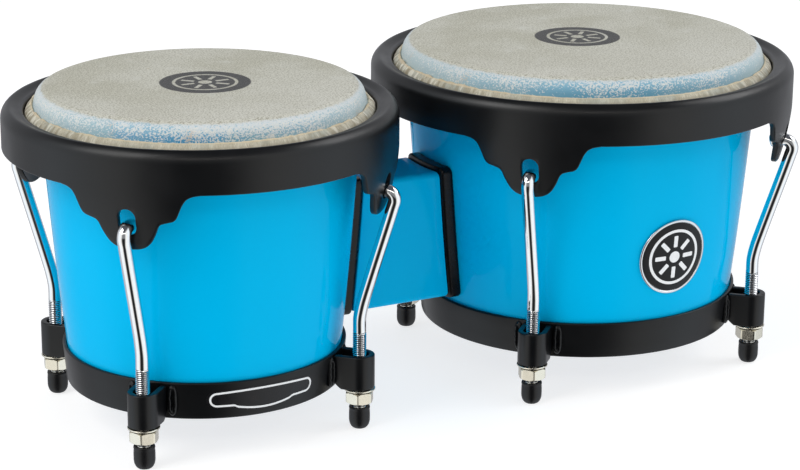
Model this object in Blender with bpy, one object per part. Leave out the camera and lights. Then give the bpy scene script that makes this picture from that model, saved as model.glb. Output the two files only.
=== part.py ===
"""Pair of bongo drums: a small drum (macho) and a large one (hembra), joined by a centre block.

Each drum has a tapered moulded shell, a rawhide head folded round a steel flesh ring, a rolled
counterhoop with four ears, a bottom ring with four welded U-straps, and four J-hook tuning rods.
Each rod hangs in an ear, runs down through a U-strap, and takes a washer, a hex nut and a rubber cap.
Turning the nuts pulls the counterhoop, the flesh ring, the rods and the caps down as one.

Metres, +Z up. The drums stand on the rubber caps at z = 0. +X runs from the macho to the hembra,
and the origin is under the middle of the whole pair.
"""

from math import cos, pi, radians, sin, sqrt

import bmesh
import bpy
from mathutils import Matrix, Vector

MM = 0.001

# ---------------------------------------------------------------- driving dimensions, in millimetres
AXIS_SPACING = 222.9      # from the macho's axis to the hembra's
HEMBRA_EXTRA = 14.2       # every hembra radius is this much more than the macho's
HEAD_TOP = 173.0          # playing surface
HEAD_THICK = 1.2
HEAD_BAND_R = 82.5        # macho, outside of the head where it turns down over the shell
COLLAR_R = 87.15          # where the head's collar leaves the hoop's inner lip
HOOP_R = 98.9             # macho, outside of the counterhoop
HOOP_TOP = 164.1          # at the roll's ridge, from where the top slopes down to the inner lip
HOOP_BOTTOM = 143.0       # between the ears
HOOP_SHEET = 3.0
LIP_IN = 11.4             # the hoop's inner lip, measured in from its outside
LIP_BOTTOM = 157.0
EAR_TIP = 114.2
EAR_LEAN = 5.0            # the ears lean in by this much at the tip
SLOT_WIDTH, SLOT_LOW, SLOT_HIGH = 9.0, 121.7, 135.2
FLESH_R, FLESH_Z, FLESH_WIRE = 87.9, 152.7, 2.3
SHELL_WALL = 5.0
SHELL_BOTTOM = 23.7
RING_BOTTOM, RING_TOP, RING_SHEET = 21.6, 40.7, 1.8
LUG_INSET = 15.9          # the rods' lower legs stand this far inside the hoop's outer radius
STRAP_BOTTOM, STRAP_TOP, STRAP_OUT_R, STRAP_SHEET = 21.9, 39.5, 7.7, 2.2
STRAP_CORNER = (3.4, 2.8)  # length and height cut off the strap's lower corner next to the ring
ROD_R, THREAD_R, THREAD_PITCH = 3.3, 3.5, 1.0
ROD_BOTTOM, THREAD_TOP, ROD_KNEE = 4.4, 51.5, 62.0
HOOK_OUT, HOOK_Z, HOOK_BEND = 2.2, 121.5, 4.5
WASHER_R, WASHER_BORE, WASHER_BOTTOM = 8.0, 3.9, 19.9
NUT_AF, NUT_TOP, NUT_BOTTOM, NUT_BORE = 13.0, 19.6, 13.7, 3.85
# where each nut's corners stand after tuning, in degrees about its rod
NUT_TURN = {
    "macho": {"front_left": 54.0, "front_right": 54.4, "back_right": 24.0, "back_left": 13.0},
    "hembra": {"front_left": 10.0, "front_right": 18.0, "back_right": 41.0, "back_left": 29.0},
}
CAP_R, CAP_TOP, CAP_FLAT_R, CAP_BORE = 5.35, 11.8, 2.6, 3.8
BLOCK_HALF, BLOCK_BOTTOM, BLOCK_TOP, BLOCK_EDGE = 18.2, 45.8, 115.0, 3.0
GASKET_HALF, GASKET_BOTTOM, GASKET_TOP, GASKET_THICK, GASKET_EDGE = 18.9, 44.6, 117.0, 6.9, 1.6
BOLT_R, BOLT_HOLE_R, BOLT_FLANGE_R, BOLT_AF = 4.0, 4.4, 8.5, 13.0
BOLT_HEIGHTS = {"upper": 96.0, "lower": 64.0}
BADGE_R, BADGE_Z, BADGE_ANGLE, BADGE_THICK = 20.3, 74.5, -87.5, 1.2
GAP = 0.3                 # between pieces that touch
STEPS = 40                # round the drums

MACHO_X = -(AXIS_SPACING + HEMBRA_EXTRA) / 2
HEMBRA_X = MACHO_X + AXIS_SPACING
DRUMS = {"macho": (MACHO_X, 0.0), "hembra": (HEMBRA_X, HEMBRA_EXTRA)}
LUGS = {"front_left": -135, "front_right": -45, "back_right": 45, "back_left": 135}

# The shell's outside, macho: height, radius. A straight taper that eases off towards the head.
SHELL_LINE = [(21.6, 68.5), (40.7, 70.15), (66.0, 72.7), (92.0, 75.0), (123.3, 77.5), (150.0, 79.6), (165.0, 80.6)]

# The lower edge of a counterhoop's ear: distance along the hoop from its middle, height.
EAR_LINE = [(0.0, 114.2), (7.0, 115.3), (12.5, 120.5), (16.5, 127.8), (25.0, 131.2), (34.0, 142.4)]


# ---------------------------------------------------------------- materials
def material(name, colour, metallic, roughness):
    made = bpy.data.materials.new(name)
    made.use_nodes = True
    shader = made.node_tree.nodes["Principled BSDF"]
    shader.inputs["Base Color"].default_value = (*colour, 1.0)
    shader.inputs["Metallic"].default_value = metallic
    shader.inputs["Roughness"].default_value = roughness
    made.diffuse_color = (*colour, 1.0)
    return made


def clear_scene():
    for obj in list(bpy.data.objects):
        bpy.data.objects.remove(obj, do_unlink=True)


# ---------------------------------------------------------------- building helpers
def put(name, mesh_or_curve, mat, at=(0, 0, 0), turn=0.0, parent=None):
    """A named object at a place given in millimetres, turned about Z by degrees."""
    obj = bpy.data.objects.new(name, mesh_or_curve)
    bpy.context.scene.collection.objects.link(obj)
    obj.parent = parent
    origin = parent.location if parent else Vector((0, 0, 0))
    obj.location = Vector([MM * v for v in at]) - origin
    obj.rotation_euler = (0, 0, radians(turn))
    if mat:
        obj.data.materials.append(mat)
    return obj


def mesh_of(name, bm, smooth_deg=35.0):
    bmesh.ops.remove_doubles(bm, verts=bm.verts, dist=1e-7)
    bmesh.ops.recalc_face_normals(bm, faces=bm.faces)
    mesh = bpy.data.meshes.new(name)
    bm.to_mesh(mesh)
    bm.free()
    mesh.shade_smooth()
    mesh.set_sharp_from_angle(angle=radians(smooth_deg))
    return mesh


def turned(name, profile, steps=STEPS, start=0.0):
    """A closed profile of (radius, height) in millimetres, spun about Z."""
    bm = bmesh.new()
    ring = [bm.verts.new((MM * r * cos(start), MM * r * sin(start), MM * z)) for r, z in profile]
    edges = [bm.edges.new((ring[i], ring[(i + 1) % len(ring)])) for i in range(len(ring))]
    bmesh.ops.spin(
        bm, geom=ring + edges, cent=(0, 0, 0), axis=(0, 0, 1), angle=2 * pi, steps=steps,
        use_merge=True, use_duplicate=False,
    )
    bmesh.ops.remove_doubles(bm, verts=bm.verts, dist=1e-7)
    bmesh.ops.dissolve_degenerate(bm, edges=bm.edges, dist=1e-7)
    return mesh_of(name, bm)


def prism(name, outline, low, high):
    """An outline of (x, y) in millimetres, extruded from one height to another."""
    bm = bmesh.new()
    face = bm.faces.new([bm.verts.new((MM * x, MM * y, MM * low)) for x, y in outline])
    out = bmesh.ops.extrude_face_region(bm, geom=[face])
    bmesh.ops.translate(
        bm, verts=[v for v in out["geom"] if isinstance(v, bmesh.types.BMVert)], vec=(0, 0, MM * (high - low))
    )
    return mesh_of(name, bm)


def cutter(name, mesh, at=(0, 0, 0), turn=0.0):
    obj = put(name, mesh, None, at, turn)
    obj.hide_render = True
    obj.display_type = "WIRE"
    return obj


def boolean(obj, other, operation):
    modifier = obj.modifiers.new(operation.lower() + "_" + other.name, "BOOLEAN")
    modifier.operation = operation
    modifier.solver = "EXACT"
    modifier.object = other


def empty(name, at):
    obj = bpy.data.objects.new(name, None)
    bpy.context.scene.collection.objects.link(obj)
    obj.empty_display_size = 0.02
    obj.location = [MM * v for v in at]
    return obj


def shell_radius(z):
    for (z0, r0), (z1, r1) in zip(SHELL_LINE, SHELL_LINE[1:]):
        if z <= z1:
            return r0 + (r1 - r0) * (z - z0) / (z1 - z0)
    return SHELL_LINE[-1][1]


# ---------------------------------------------------------------- shell, head, flesh ring
def shell_mesh(extra):
    outer = [(shell_radius(SHELL_BOTTOM), SHELL_BOTTOM)] + [(r, z) for z, r in SHELL_LINE if z > SHELL_BOTTOM]
    edge = [(79.7, 166.8), (78.2, 168.9), (76.5, 170.3), (75.0, 170.4)]
    inner = [(shell_radius(z) - SHELL_WALL, z) for z in (123.3, 66.0, SHELL_BOTTOM)]
    return turned("shell", [(r + extra, z) for r, z in outer + edge + inner])


def head_mesh(extra):
    """Flat skin, rounded edge, band down the shell, collar out to the hoop's lip, and the fold round the ring."""
    wrap = FLESH_WIRE + GAP + 0.3
    out_r = wrap + 1.0
    outer = [(73.6, HEAD_TOP), (76.7, 172.5), (79.5, 171.0), (81.3, 168.8), (82.2, 166.4), (HEAD_BAND_R, 164.3), (85.6, 162.9), (COLLAR_R, 160.8), (COLLAR_R, 156.68)]
    inner = [(86.05, 155.9), (85.9, 160.1), (84.8, 161.6), (81.3, 163.7), (81.0, 166.1), (80.1, 168.3), (78.6, 170.1), (76.2, 171.4), (73.4, HEAD_TOP - HEAD_THICK)]
    fold = []
    for a in (86, 30, -20, -75):
        fold.append((FLESH_R + out_r * cos(radians(a)), FLESH_Z + out_r * sin(radians(a))))
    back = []
    for a in (-75, -20, 30, 86):
        back.append((FLESH_R + wrap * cos(radians(a)), FLESH_Z + wrap * sin(radians(a))))
    ring = [(r + extra, z) for r, z in outer + fold + back + inner]
    return turned("head", [(0.0, HEAD_TOP)] + ring + [(0.0, HEAD_TOP - HEAD_THICK)])


def flesh_mesh(extra):
    n = 6
    return turned(
        "flesh_ring",
        [(FLESH_R + extra + FLESH_WIRE * cos(2 * pi * i / n), FLESH_Z + FLESH_WIRE * sin(2 * pi * i / n)) for i in range(n)],
    )


# ---------------------------------------------------------------- counterhoop
def ear_lean(z):
    """How far the sheet has come in at this height: the ears hook inwards below the skirt."""
    drop = max(0.0, HOOP_BOTTOM - z) / (HOOP_BOTTOM - EAR_TIP)
    return EAR_LEAN * drop ** 1.6


def hoop_columns(radius):
    """(angle in degrees, lower edge) for each column round the hoop: four ears and the plain edge between them."""
    columns = []
    for middle in LUGS.values():
        for s, z in EAR_LINE:
            for side in (1, -1) if s else (1,):
                columns.append((middle + side * s / radius * 180 / pi, z))
    reach = EAR_LINE[-1][0] / radius * 180 / pi
    for axis in (-90, 0, 90, 180):
        for k in range(-3, 4):
            columns.append((axis + k / 4 * (45 - reach), HOOP_BOTTOM))
    return sorted((a % 360.0, z) for a, z in columns)


def hoop_mesh(extra):
    radius = HOOP_R + extra
    bm = bmesh.new()
    loops = []
    for angle, low in hoop_columns(radius):
        skirt_top = 150.0
        rows = [skirt_top - t * (skirt_top - low) for t in (0.0, 0.5, 1.0)]
        outside = [(radius - ear_lean(z), z) for z in reversed(rows)]
        roll = [(radius, 157.6), (radius - 2.0, 162.6), (radius - 4.0, HOOP_TOP), (radius - 9.9, 162.4)]
        lip = [(radius - LIP_IN, 161.2), (radius - LIP_IN, LIP_BOTTOM), (radius - LIP_IN + 2.8, LIP_BOTTOM)]
        inside = [(radius - HOOP_SHEET - 2.4, 160.6)] + [(radius - HOOP_SHEET - ear_lean(z), z) for z in rows]
        a = radians(angle)
        loops.append([bm.verts.new((MM * r * cos(a), MM * r * sin(a), MM * z)) for r, z in outside + roll + lip + inside])
    n = len(loops[0])
    for i, loop in enumerate(loops):
        after = loops[(i + 1) % len(loops)]
        for k in range(n):
            bm.faces.new((loop[k], after[k], after[(k + 1) % n], loop[(k + 1) % n]))
    return mesh_of("counterhoop", bm)


def slot_outline(width, length, corner_steps=5):
    """A slot of that whole length with round ends, about its middle."""
    r, half = width / 2, (length - width) / 2
    points = []
    for i in range(corner_steps + 1):
        a = pi * i / corner_steps
        points.append((r * cos(a), half + r * sin(a)))
    for i in range(corner_steps + 1):
        a = pi + pi * i / corner_steps
        points.append((r * cos(a), -half + r * sin(a)))
    return points


def slot_cutter(name, x, radius, angle):
    """A slot-shaped bar that points along the radius, through the ear."""
    mesh = prism(name, slot_outline(SLOT_WIDTH, SLOT_HIGH - SLOT_LOW), -9.0, 9.0)
    mesh.transform(Matrix.Rotation(radians(90), 4, "X"))
    mesh.transform(Matrix.Rotation(radians(90), 4, "Z"))
    a = radians(angle)
    at = (x + (radius - 4.0) * cos(a), (radius - 4.0) * sin(a), (SLOT_LOW + SLOT_HIGH) / 2)
    return cutter(name, mesh, at, angle)


# ---------------------------------------------------------------- bottom ring and U-straps
def ring_mesh(extra):
    inner = [(shell_radius(z) + GAP, z) for z in (RING_TOP, SHELL_BOTTOM - GAP)]
    lip = [(shell_radius(SHELL_BOTTOM) - 4.0, SHELL_BOTTOM - GAP), (shell_radius(SHELL_BOTTOM) - 4.0, RING_BOTTOM)]
    outer = [(shell_radius(z) + GAP + RING_SHEET, z) for z in (RING_BOTTOM, RING_TOP)]
    return turned("bottom_ring", [(r + extra, z) for r, z in inner + lip + outer])


def strap_mesh(extra):
    """A strap bent to a U round the rod, its two ends against the bottom ring. Local +X points out from the drum."""
    lug = HOOP_R + extra - LUG_INSET
    ring_out = shell_radius(RING_TOP) + extra + GAP + RING_SHEET
    outside, inside = [], []
    root = ring_out - lug + GAP
    bend = 8
    for r, line in ((STRAP_OUT_R, outside), (STRAP_OUT_R - STRAP_SHEET, inside)):
        # the ring is round, so each end of the strap starts where the ring's surface is
        start = sqrt(ring_out**2 - r**2) - lug + GAP
        line += [(start, -r), (root + STRAP_CORNER[0], -r)]
        line += [(r * sin(pi * i / bend), -r * cos(pi * i / bend)) for i in range(bend + 1)]
        line += [(root + STRAP_CORNER[0], r), (start, r)]
    bm = bmesh.new()
    rings = []
    for line_o, line_i in zip(outside, inside):
        # the lower edge rises next to the ring
        share = min(1.0, max(0.0, (root + STRAP_CORNER[0] - line_o[0]) / STRAP_CORNER[0]))
        low = STRAP_BOTTOM + STRAP_CORNER[1] * share
        rings.append([bm.verts.new((MM * x, MM * y, MM * z)) for (x, y), z in (
            (line_o, low), (line_o, STRAP_TOP), (line_i, STRAP_TOP), (line_i, low))])
    for first, second in zip(rings, rings[1:]):
        for k in range(4):
            bm.faces.new((first[k], second[k], second[(k + 1) % 4], first[(k + 1) % 4]))
    bm.faces.new(rings[0])
    bm.faces.new(list(reversed(rings[-1])))
    return mesh_of("lug_bracket", bm)


# ---------------------------------------------------------------- rods, washers, nuts, caps
def rod_line():
    """The rod's centre line, (out, height): straight leg, knee, slanted shank, tight hook over the ear, short end."""
    out = LUG_INSET + HOOK_OUT
    slant = (out - 0.4) / (HOOK_Z - 2.0 - ROD_KNEE)
    line = [(0.0, ROD_BOTTOM), (0.0, THREAD_TOP), (0.0, THREAD_TOP + 0.6), (0.0, ROD_KNEE - 4.5)]
    line += [(0.35, ROD_KNEE - 1.5), (1.0, ROD_KNEE + 1.8), (1.9, ROD_KNEE + 5.6)]
    line.append((out - 0.4 - slant * 6.0, HOOK_Z - 8.0))
    line.append((out - 0.2 - slant * 2.5, HOOK_Z - 3.6))
    for a in (0, 30, 60, 90):
        line.append((out - HOOK_BEND + HOOK_BEND * cos(radians(a)), HOOK_Z + HOOK_BEND * sin(radians(a))))
    line.append((out - HOOK_BEND - 3.0, HOOK_Z + HOOK_BEND - 0.3))
    line.append((out - HOOK_BEND - 6.6, HOOK_Z + HOOK_BEND - 1.3))
    return line


def rod_curve(name):
    curve = bpy.data.curves.new(name, "CURVE")
    curve.dimensions = "3D"
    curve.bevel_depth = MM * ROD_R
    curve.bevel_resolution = 2
    curve.use_fill_caps = True
    points = rod_line()
    spline = curve.splines.new("POLY")
    spline.points.add(len(points) - 1)
    for point, (out, z) in zip(spline.points, points):
        point.co = (MM * out, 0, MM * z, 1)
        point.radius = THREAD_R / ROD_R if z <= THREAD_TOP else 1.0
    spline.use_smooth = True
    return curve


def washer_mesh():
    top = STRAP_BOTTOM - GAP
    return turned(
        "washer",
        [(WASHER_BORE, WASHER_BOTTOM), (5.9, WASHER_BOTTOM), (WASHER_R, top - 0.9), (WASHER_R, top), (WASHER_BORE, top)],
        steps=12,
    )


def nut_mesh():
    """Hex nut with its lower corners turned off."""
    corner = NUT_AF / sqrt(3)
    bm = bmesh.new()
    levels = []
    for z, corner_r in ((NUT_BOTTOM, 6.7), (NUT_BOTTOM + 0.6, corner), (NUT_TOP, corner)):
        ring = []
        for i in range(12):
            a = pi * i / 6
            r = corner if i % 2 == 0 else NUT_AF / 2
            r = min(r, corner_r)
            ring.append(bm.verts.new((MM * r * cos(a), MM * r * sin(a), MM * z)))
        levels.append(ring)
    for z in (NUT_TOP, NUT_BOTTOM):
        levels.append([bm.verts.new((MM * NUT_BORE * cos(pi * i / 6), MM * NUT_BORE * sin(pi * i / 6), MM * z)) for i in range(12)])
    for a, b in zip(levels, levels[1:] + levels[:1]):
        for i in range(12):
            j = (i + 1) % 12
            bm.faces.new((a[i], a[j], b[j], b[i]))
    return mesh_of("nut", bm, 20)


def cap_mesh():
    """Rubber cap: a thimble on the rod's end, domed below with a small flat where it stands."""
    outer = [(CAP_FLAT_R, 0.0), (4.4, 1.2), (CAP_R, 4.2), (CAP_R - 0.2, CAP_TOP)]
    inner = [(CAP_BORE, CAP_TOP), (CAP_BORE, ROD_BOTTOM - GAP), (0.0, ROD_BOTTOM - GAP)]
    return turned("foot_cap", [(0.0, 0.0)] + outer + inner, steps=12)


# ---------------------------------------------------------------- centre block, gaskets, bolts
def rounded_box(name, low, high, edge):
    bm = bmesh.new()
    bmesh.ops.create_cube(bm, size=1.0)
    for v in bm.verts:
        v.co = Vector([MM * (low[k] if v.co[k] < 0 else high[k]) for k in range(3)])
    along_x = [e for e in bm.edges if abs(e.verts[0].co.x - e.verts[1].co.x) > 1e-4]
    bmesh.ops.bevel(bm, geom=along_x, offset=MM * edge, segments=3, profile=0.5, affect="EDGES")
    return mesh_of(name, bm)


def around_shell(name, x, extra, off):
    """A cutter: the space that a drum's shell fills, made larger by off."""
    line = [(r + extra + off, z) for z, r in SHELL_LINE]
    low, high = line[0], line[-1]
    profile = [(0.0, low[1])] + line + [(0.0, high[1])]
    return cutter(name, turned(name, profile), (x, 0, 0))


def bar_along_x(name, radius, steps, low, high):
    mesh = prism(name, [(radius * cos(2 * pi * (i + 0.5) / steps), radius * sin(2 * pi * (i + 0.5) / steps)) for i in range(steps)], low, high)
    mesh.transform(Matrix.Rotation(radians(90), 4, "Y"))
    return mesh


def wall_at(z):
    """Where the flanges sit inside the shells: the largest x for the macho, the smallest for the hembra."""
    macho = MACHO_X + sqrt((shell_radius(z - BOLT_FLANGE_R) - SHELL_WALL) ** 2 - BOLT_FLANGE_R**2) - 0.6
    hembra = HEMBRA_X - sqrt((shell_radius(z - BOLT_FLANGE_R) + HEMBRA_EXTRA - SHELL_WALL) ** 2 - BOLT_FLANGE_R**2) + 0.6
    return macho, hembra


# ---------------------------------------------------------------- badge
def badge_mesh():
    """A round plate bent to the hembra shell."""
    rings, segments = (10.0, BADGE_R), 28
    bm = bmesh.new()

    def on_shell(u, v, off):
        z = BADGE_Z + v
        r = shell_radius(z) + HEMBRA_EXTRA + off
        a = radians(BADGE_ANGLE) + u / (shell_radius(BADGE_Z) + HEMBRA_EXTRA)
        return bm.verts.new((MM * r * cos(a), MM * r * sin(a), MM * z))

    sides = []
    for off in (GAP, GAP + BADGE_THICK):
        loops = [[on_shell(0, 0, off)]]
        for r in rings:
            loops.append([on_shell(r * cos(2 * pi * i / segments), r * sin(2 * pi * i / segments), off) for i in range(segments)])
        for i in range(segments):
            j = (i + 1) % segments
            bm.faces.new((loops[0][0], loops[1][i], loops[1][j]))
            bm.faces.new((loops[1][i], loops[2][i], loops[2][j], loops[1][j]))
        sides.append(loops[-1])
    for i in range(segments):
        j = (i + 1) % segments
        bm.faces.new((sides[0][i], sides[0][j], sides[1][j], sides[1][i]))
    return mesh_of("badge", bm)


# ---------------------------------------------------------------- the whole pair
def main():
    clear_scene()
    blue = material("blue_shell", (0.0, 0.42, 0.82), 0.0, 0.12)
    black = material("black_powder_coat", (0.02, 0.02, 0.022), 0.3, 0.45)
    hide = material("rawhide", (0.50, 0.47, 0.38), 0.0, 0.6)
    chrome = material("chrome", (0.85, 0.86, 0.88), 1.0, 0.08)
    nickel = material("nickel", (0.74, 0.70, 0.60), 1.0, 0.25)
    rubber = material("black_rubber", (0.012, 0.012, 0.013), 0.0, 0.5)
    steel = material("steel", (0.55, 0.55, 0.56), 1.0, 0.35)
    gasket_black = material("black_gasket", (0.01, 0.01, 0.011), 0.0, 0.4)
    badge_metal = material("badge", (0.03, 0.03, 0.03), 0.2, 0.3)

    for drum, (x, extra) in DRUMS.items():
        shell = put(drum + "_shell", shell_mesh(extra), blue, (x, 0, 0))
        put(drum + "_bottom_ring", ring_mesh(extra), black, (x, 0, 0))
        for place, z in BOLT_HEIGHTS.items():
            toward = 1 if drum == "macho" else -1
            hole = cutter(
                f"{drum}_bolt_hole_{place}",
                bar_along_x("bolt_hole", BOLT_HOLE_R, 12, 40.0, 120.0),
                (x if toward > 0 else x - 160.0, 0, z),
            )
            boolean(shell, hole, "DIFFERENCE")

        # what slides on the drum's axis when the head is tuned
        slide = empty(drum + "_tuning_slide", (x, 0, 0))
        put(drum + "_head", head_mesh(extra), hide, (x, 0, 0))
        put(drum + "_flesh_ring", flesh_mesh(extra), steel, (x, 0, 0), parent=slide)
        hoop = put(drum + "_counterhoop", hoop_mesh(extra), black, (x, 0, 0), parent=slide)
        strap, washer, nut, cap = strap_mesh(extra), washer_mesh(), nut_mesh(), cap_mesh()
        for lug, angle in LUGS.items():
            boolean(hoop, slot_cutter(f"{drum}_slot_{lug}", x, HOOP_R + extra, angle), "DIFFERENCE")
            leg = HOOP_R + extra - LUG_INSET
            at = (x + leg * cos(radians(angle)), leg * sin(radians(angle)), 0)
            put(f"{drum}_bracket_{lug}", strap, None, at, angle)
            put(f"{drum}_rod_{lug}", rod_curve("tuning_rod"), chrome, at, angle, slide)
            put(f"{drum}_washer_{lug}", washer, None, at, angle)
            put(f"{drum}_nut_{lug}", nut, None, at, NUT_TURN[drum][lug])
            put(f"{drum}_cap_{lug}", cap, None, at, angle, slide)
        for mesh, mat in ((strap, black), (washer, nickel), (nut, nickel), (cap, rubber)):
            mesh.materials.append(mat)

    # centre block between two gaskets, each end hollowed to its shell
    block = put("centre_block", rounded_box(
        "centre_block", (MACHO_X + 60, -BLOCK_HALF, BLOCK_BOTTOM), (HEMBRA_X - 72, BLOCK_HALF, BLOCK_TOP), BLOCK_EDGE), blue)
    for drum, (x, extra) in DRUMS.items():
        gasket = put(drum + "_gasket", rounded_box(
            "gasket",
            (MACHO_X + 55, -GASKET_HALF, GASKET_BOTTOM) if drum == "macho" else (HEMBRA_X - 110, -GASKET_HALF, GASKET_BOTTOM),
            (MACHO_X + 98, GASKET_HALF, GASKET_TOP) if drum == "macho" else (HEMBRA_X - 68, GASKET_HALF, GASKET_TOP),
            GASKET_EDGE), gasket_black)
        boolean(gasket, around_shell(drum + "_gasket_inside", x, extra, GAP), "DIFFERENCE")
        boolean(gasket, around_shell(drum + "_gasket_outside", x, extra, GASKET_THICK), "INTERSECT")
        boolean(block, around_shell(drum + "_block_end", x, extra, GASKET_THICK + GAP), "DIFFERENCE")
        for place, z in BOLT_HEIGHTS.items():
            hole = cutter(f"{drum}_gasket_hole_{place}", bar_along_x("gasket_hole", BOLT_HOLE_R, 12, -60.0, 60.0), (0, 0, z))
            boolean(gasket, hole, "DIFFERENCE")
            if drum == "macho":
                boolean(block, hole, "DIFFERENCE")

    # two bolts through the block, heads inside the macho, nuts inside the hembra
    for place, z in BOLT_HEIGHTS.items():
        head_face, nut_face = wall_at(z)
        bolt = put("through_bolt_" + place, bar_along_x("through_bolt", BOLT_R, 12, head_face - 3.0, nut_face + 9.5), steel, (0, 0, z))
        flange = cutter("bolt_flange_" + place, bar_along_x("bolt_flange", BOLT_FLANGE_R, 16, head_face - 1.8, head_face), (0, 0, z))
        hexagon = cutter("bolt_hex_" + place, bar_along_x("bolt_hex", BOLT_AF / sqrt(3), 6, head_face - 7.0, head_face - 1.0), (0, 0, z))
        boolean(bolt, flange, "UNION")
        boolean(bolt, hexagon, "UNION")
        nut = put("through_nut_" + place, bar_along_x("through_nut", BOLT_FLANGE_R, 16, nut_face, nut_face + 1.8), steel, (0, 0, z))
        hexagon = cutter("through_nut_hex_" + place, bar_along_x("through_nut_hex", BOLT_AF / sqrt(3), 6, nut_face + 1.0, nut_face + 7.5), (0, 0, z))
        bore = cutter("through_nut_bore_" + place, bar_along_x("through_nut_bore", BOLT_HOLE_R, 12, nut_face - 5, nut_face + 15), (0, 0, z))
        boolean(nut, hexagon, "UNION")
        boolean(nut, bore, "DIFFERENCE")

    put("hembra_badge", badge_mesh(), badge_metal, (HEMBRA_X, 0, 0))


main()
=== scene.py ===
"""Looks of the pair of bongo drums: fine surfaces, materials, floor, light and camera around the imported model.

Lengths in this file are millimetres unless a name ends in _m. The frame is the CAD model's: the drums
stand at z = 0, +X runs from the macho (small drum) to the hembra (large drum), +Z is up.
"""

from math import acos, atan2, cos, degrees, exp, pi, radians, sin, sqrt, tan

import bmesh
import bpy
from mathutils import Matrix, Vector, noise


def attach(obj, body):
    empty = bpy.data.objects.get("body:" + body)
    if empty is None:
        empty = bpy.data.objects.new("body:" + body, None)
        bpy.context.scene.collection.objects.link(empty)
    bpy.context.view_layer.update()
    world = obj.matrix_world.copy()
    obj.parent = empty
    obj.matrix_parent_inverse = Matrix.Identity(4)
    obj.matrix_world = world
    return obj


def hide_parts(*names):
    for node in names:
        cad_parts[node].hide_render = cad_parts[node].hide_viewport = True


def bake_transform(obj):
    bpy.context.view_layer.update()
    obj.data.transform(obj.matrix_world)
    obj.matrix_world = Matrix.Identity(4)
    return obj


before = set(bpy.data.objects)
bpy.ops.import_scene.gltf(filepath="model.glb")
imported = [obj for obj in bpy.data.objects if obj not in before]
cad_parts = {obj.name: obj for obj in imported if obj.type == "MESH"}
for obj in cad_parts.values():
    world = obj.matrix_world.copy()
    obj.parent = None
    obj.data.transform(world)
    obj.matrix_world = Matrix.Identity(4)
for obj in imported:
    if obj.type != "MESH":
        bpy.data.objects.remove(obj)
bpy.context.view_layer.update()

MM = 0.001
ROOT = "drums"

# ---------------------------------------------------------------- dimensions, as in the CAD model
HEMBRA_EXTRA = 14.2
AXIS_SPACING = 222.9
MACHO_X = -(AXIS_SPACING + HEMBRA_EXTRA) / 2
HEMBRA_X = MACHO_X + AXIS_SPACING
DRUMS = {"macho": (MACHO_X, 0.0), "hembra": (HEMBRA_X, HEMBRA_EXTRA)}
LUGS = {"front_left": -135.0, "front_right": -45.0, "back_right": 45.0, "back_left": 135.0}
GAP = 0.3
HOOP_R, HOOP_BOTTOM, HOOP_SHEET = 98.9, 143.0, 3.0
LIP_IN, LIP_BOTTOM = 11.4, 157.0
EAR_TIP, EAR_LEAN = 114.2, 5.0
SLOT_WIDTH, SLOT_LOW, SLOT_HIGH = 9.0, 121.7, 135.2
HEAD_TOP, HEAD_THICK = 173.0, 1.2
FLESH_R, FLESH_Z = 87.9, 152.7
SHELL_WALL, SHELL_BOTTOM = 5.0, 23.7
RING_BOTTOM, RING_TOP, RING_SHEET = 21.6, 40.7, 1.8
LUG_INSET = 15.9
STRAP_BOTTOM, STRAP_TOP, STRAP_OUT_R, STRAP_SHEET = 21.9, 39.5, 7.7, 3.0
STRAP_CORNER = (3.4, 2.8)
ROD_R, THREAD_R, THREAD_PITCH = 3.3, 3.5, 1.0
ROD_BOTTOM, THREAD_TOP, ROD_KNEE = 4.4, 51.5, 62.0
HOOK_OUT, HOOK_Z, HOOK_BEND = 2.2, 121.5, 4.5
WASHER_R, WASHER_BORE, WASHER_BOTTOM = 8.0, 3.9, 19.9
NUT_AF, NUT_TOP, NUT_BOTTOM = 13.0, 19.6, 13.7
CAP_R, CAP_TOP, CAP_FLAT_R = 5.35, 11.8, 2.6
BLOCK_HALF, BLOCK_BOTTOM, BLOCK_TOP, BLOCK_EDGE = 18.2, 45.8, 115.0, 3.0
GASKET_HALF, GASKET_BOTTOM, GASKET_TOP, GASKET_THICK, GASKET_EDGE = 18.9, 44.6, 117.0, 6.9, 1.8
BADGE_R, BADGE_Z, BADGE_ANGLE, BADGE_THICK = 20.3, 74.5, -87.5, 1.2
SHELL_LINE = [(21.6, 68.5), (40.7, 70.15), (66.0, 72.7), (92.0, 75.0), (123.3, 77.5), (150.0, 79.6), (165.0, 80.6)]
# finer than the CAD model's: distance along the hoop from the ear's middle, height of its lower edge
EAR_LINE = [(0, 114.2), (4.2, 114.5), (7.6, 115.5), (10.4, 117.5), (12.6, 120.6), (14.2, 123.9), (15.3, 126.6), (16.6, 128.1), (19.6, 129.1),
            (22.6, 129.9), (24.3, 131.3), (25.8, 134.6), (27.4, 138.4), (29.4, 141.0), (32.4, 142.4), (36.0, 143.0)]
# how far each nut happens to be turned, in degrees
NUT_TURN = {
    "macho_front_left": 54.0, "macho_front_right": 54.4, "macho_back_right": 24.0, "macho_back_left": 13.0,
    "hembra_front_left": 10.0, "hembra_front_right": 18.0, "hembra_back_right": 41.0, "hembra_back_left": 29.0,
}


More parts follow.
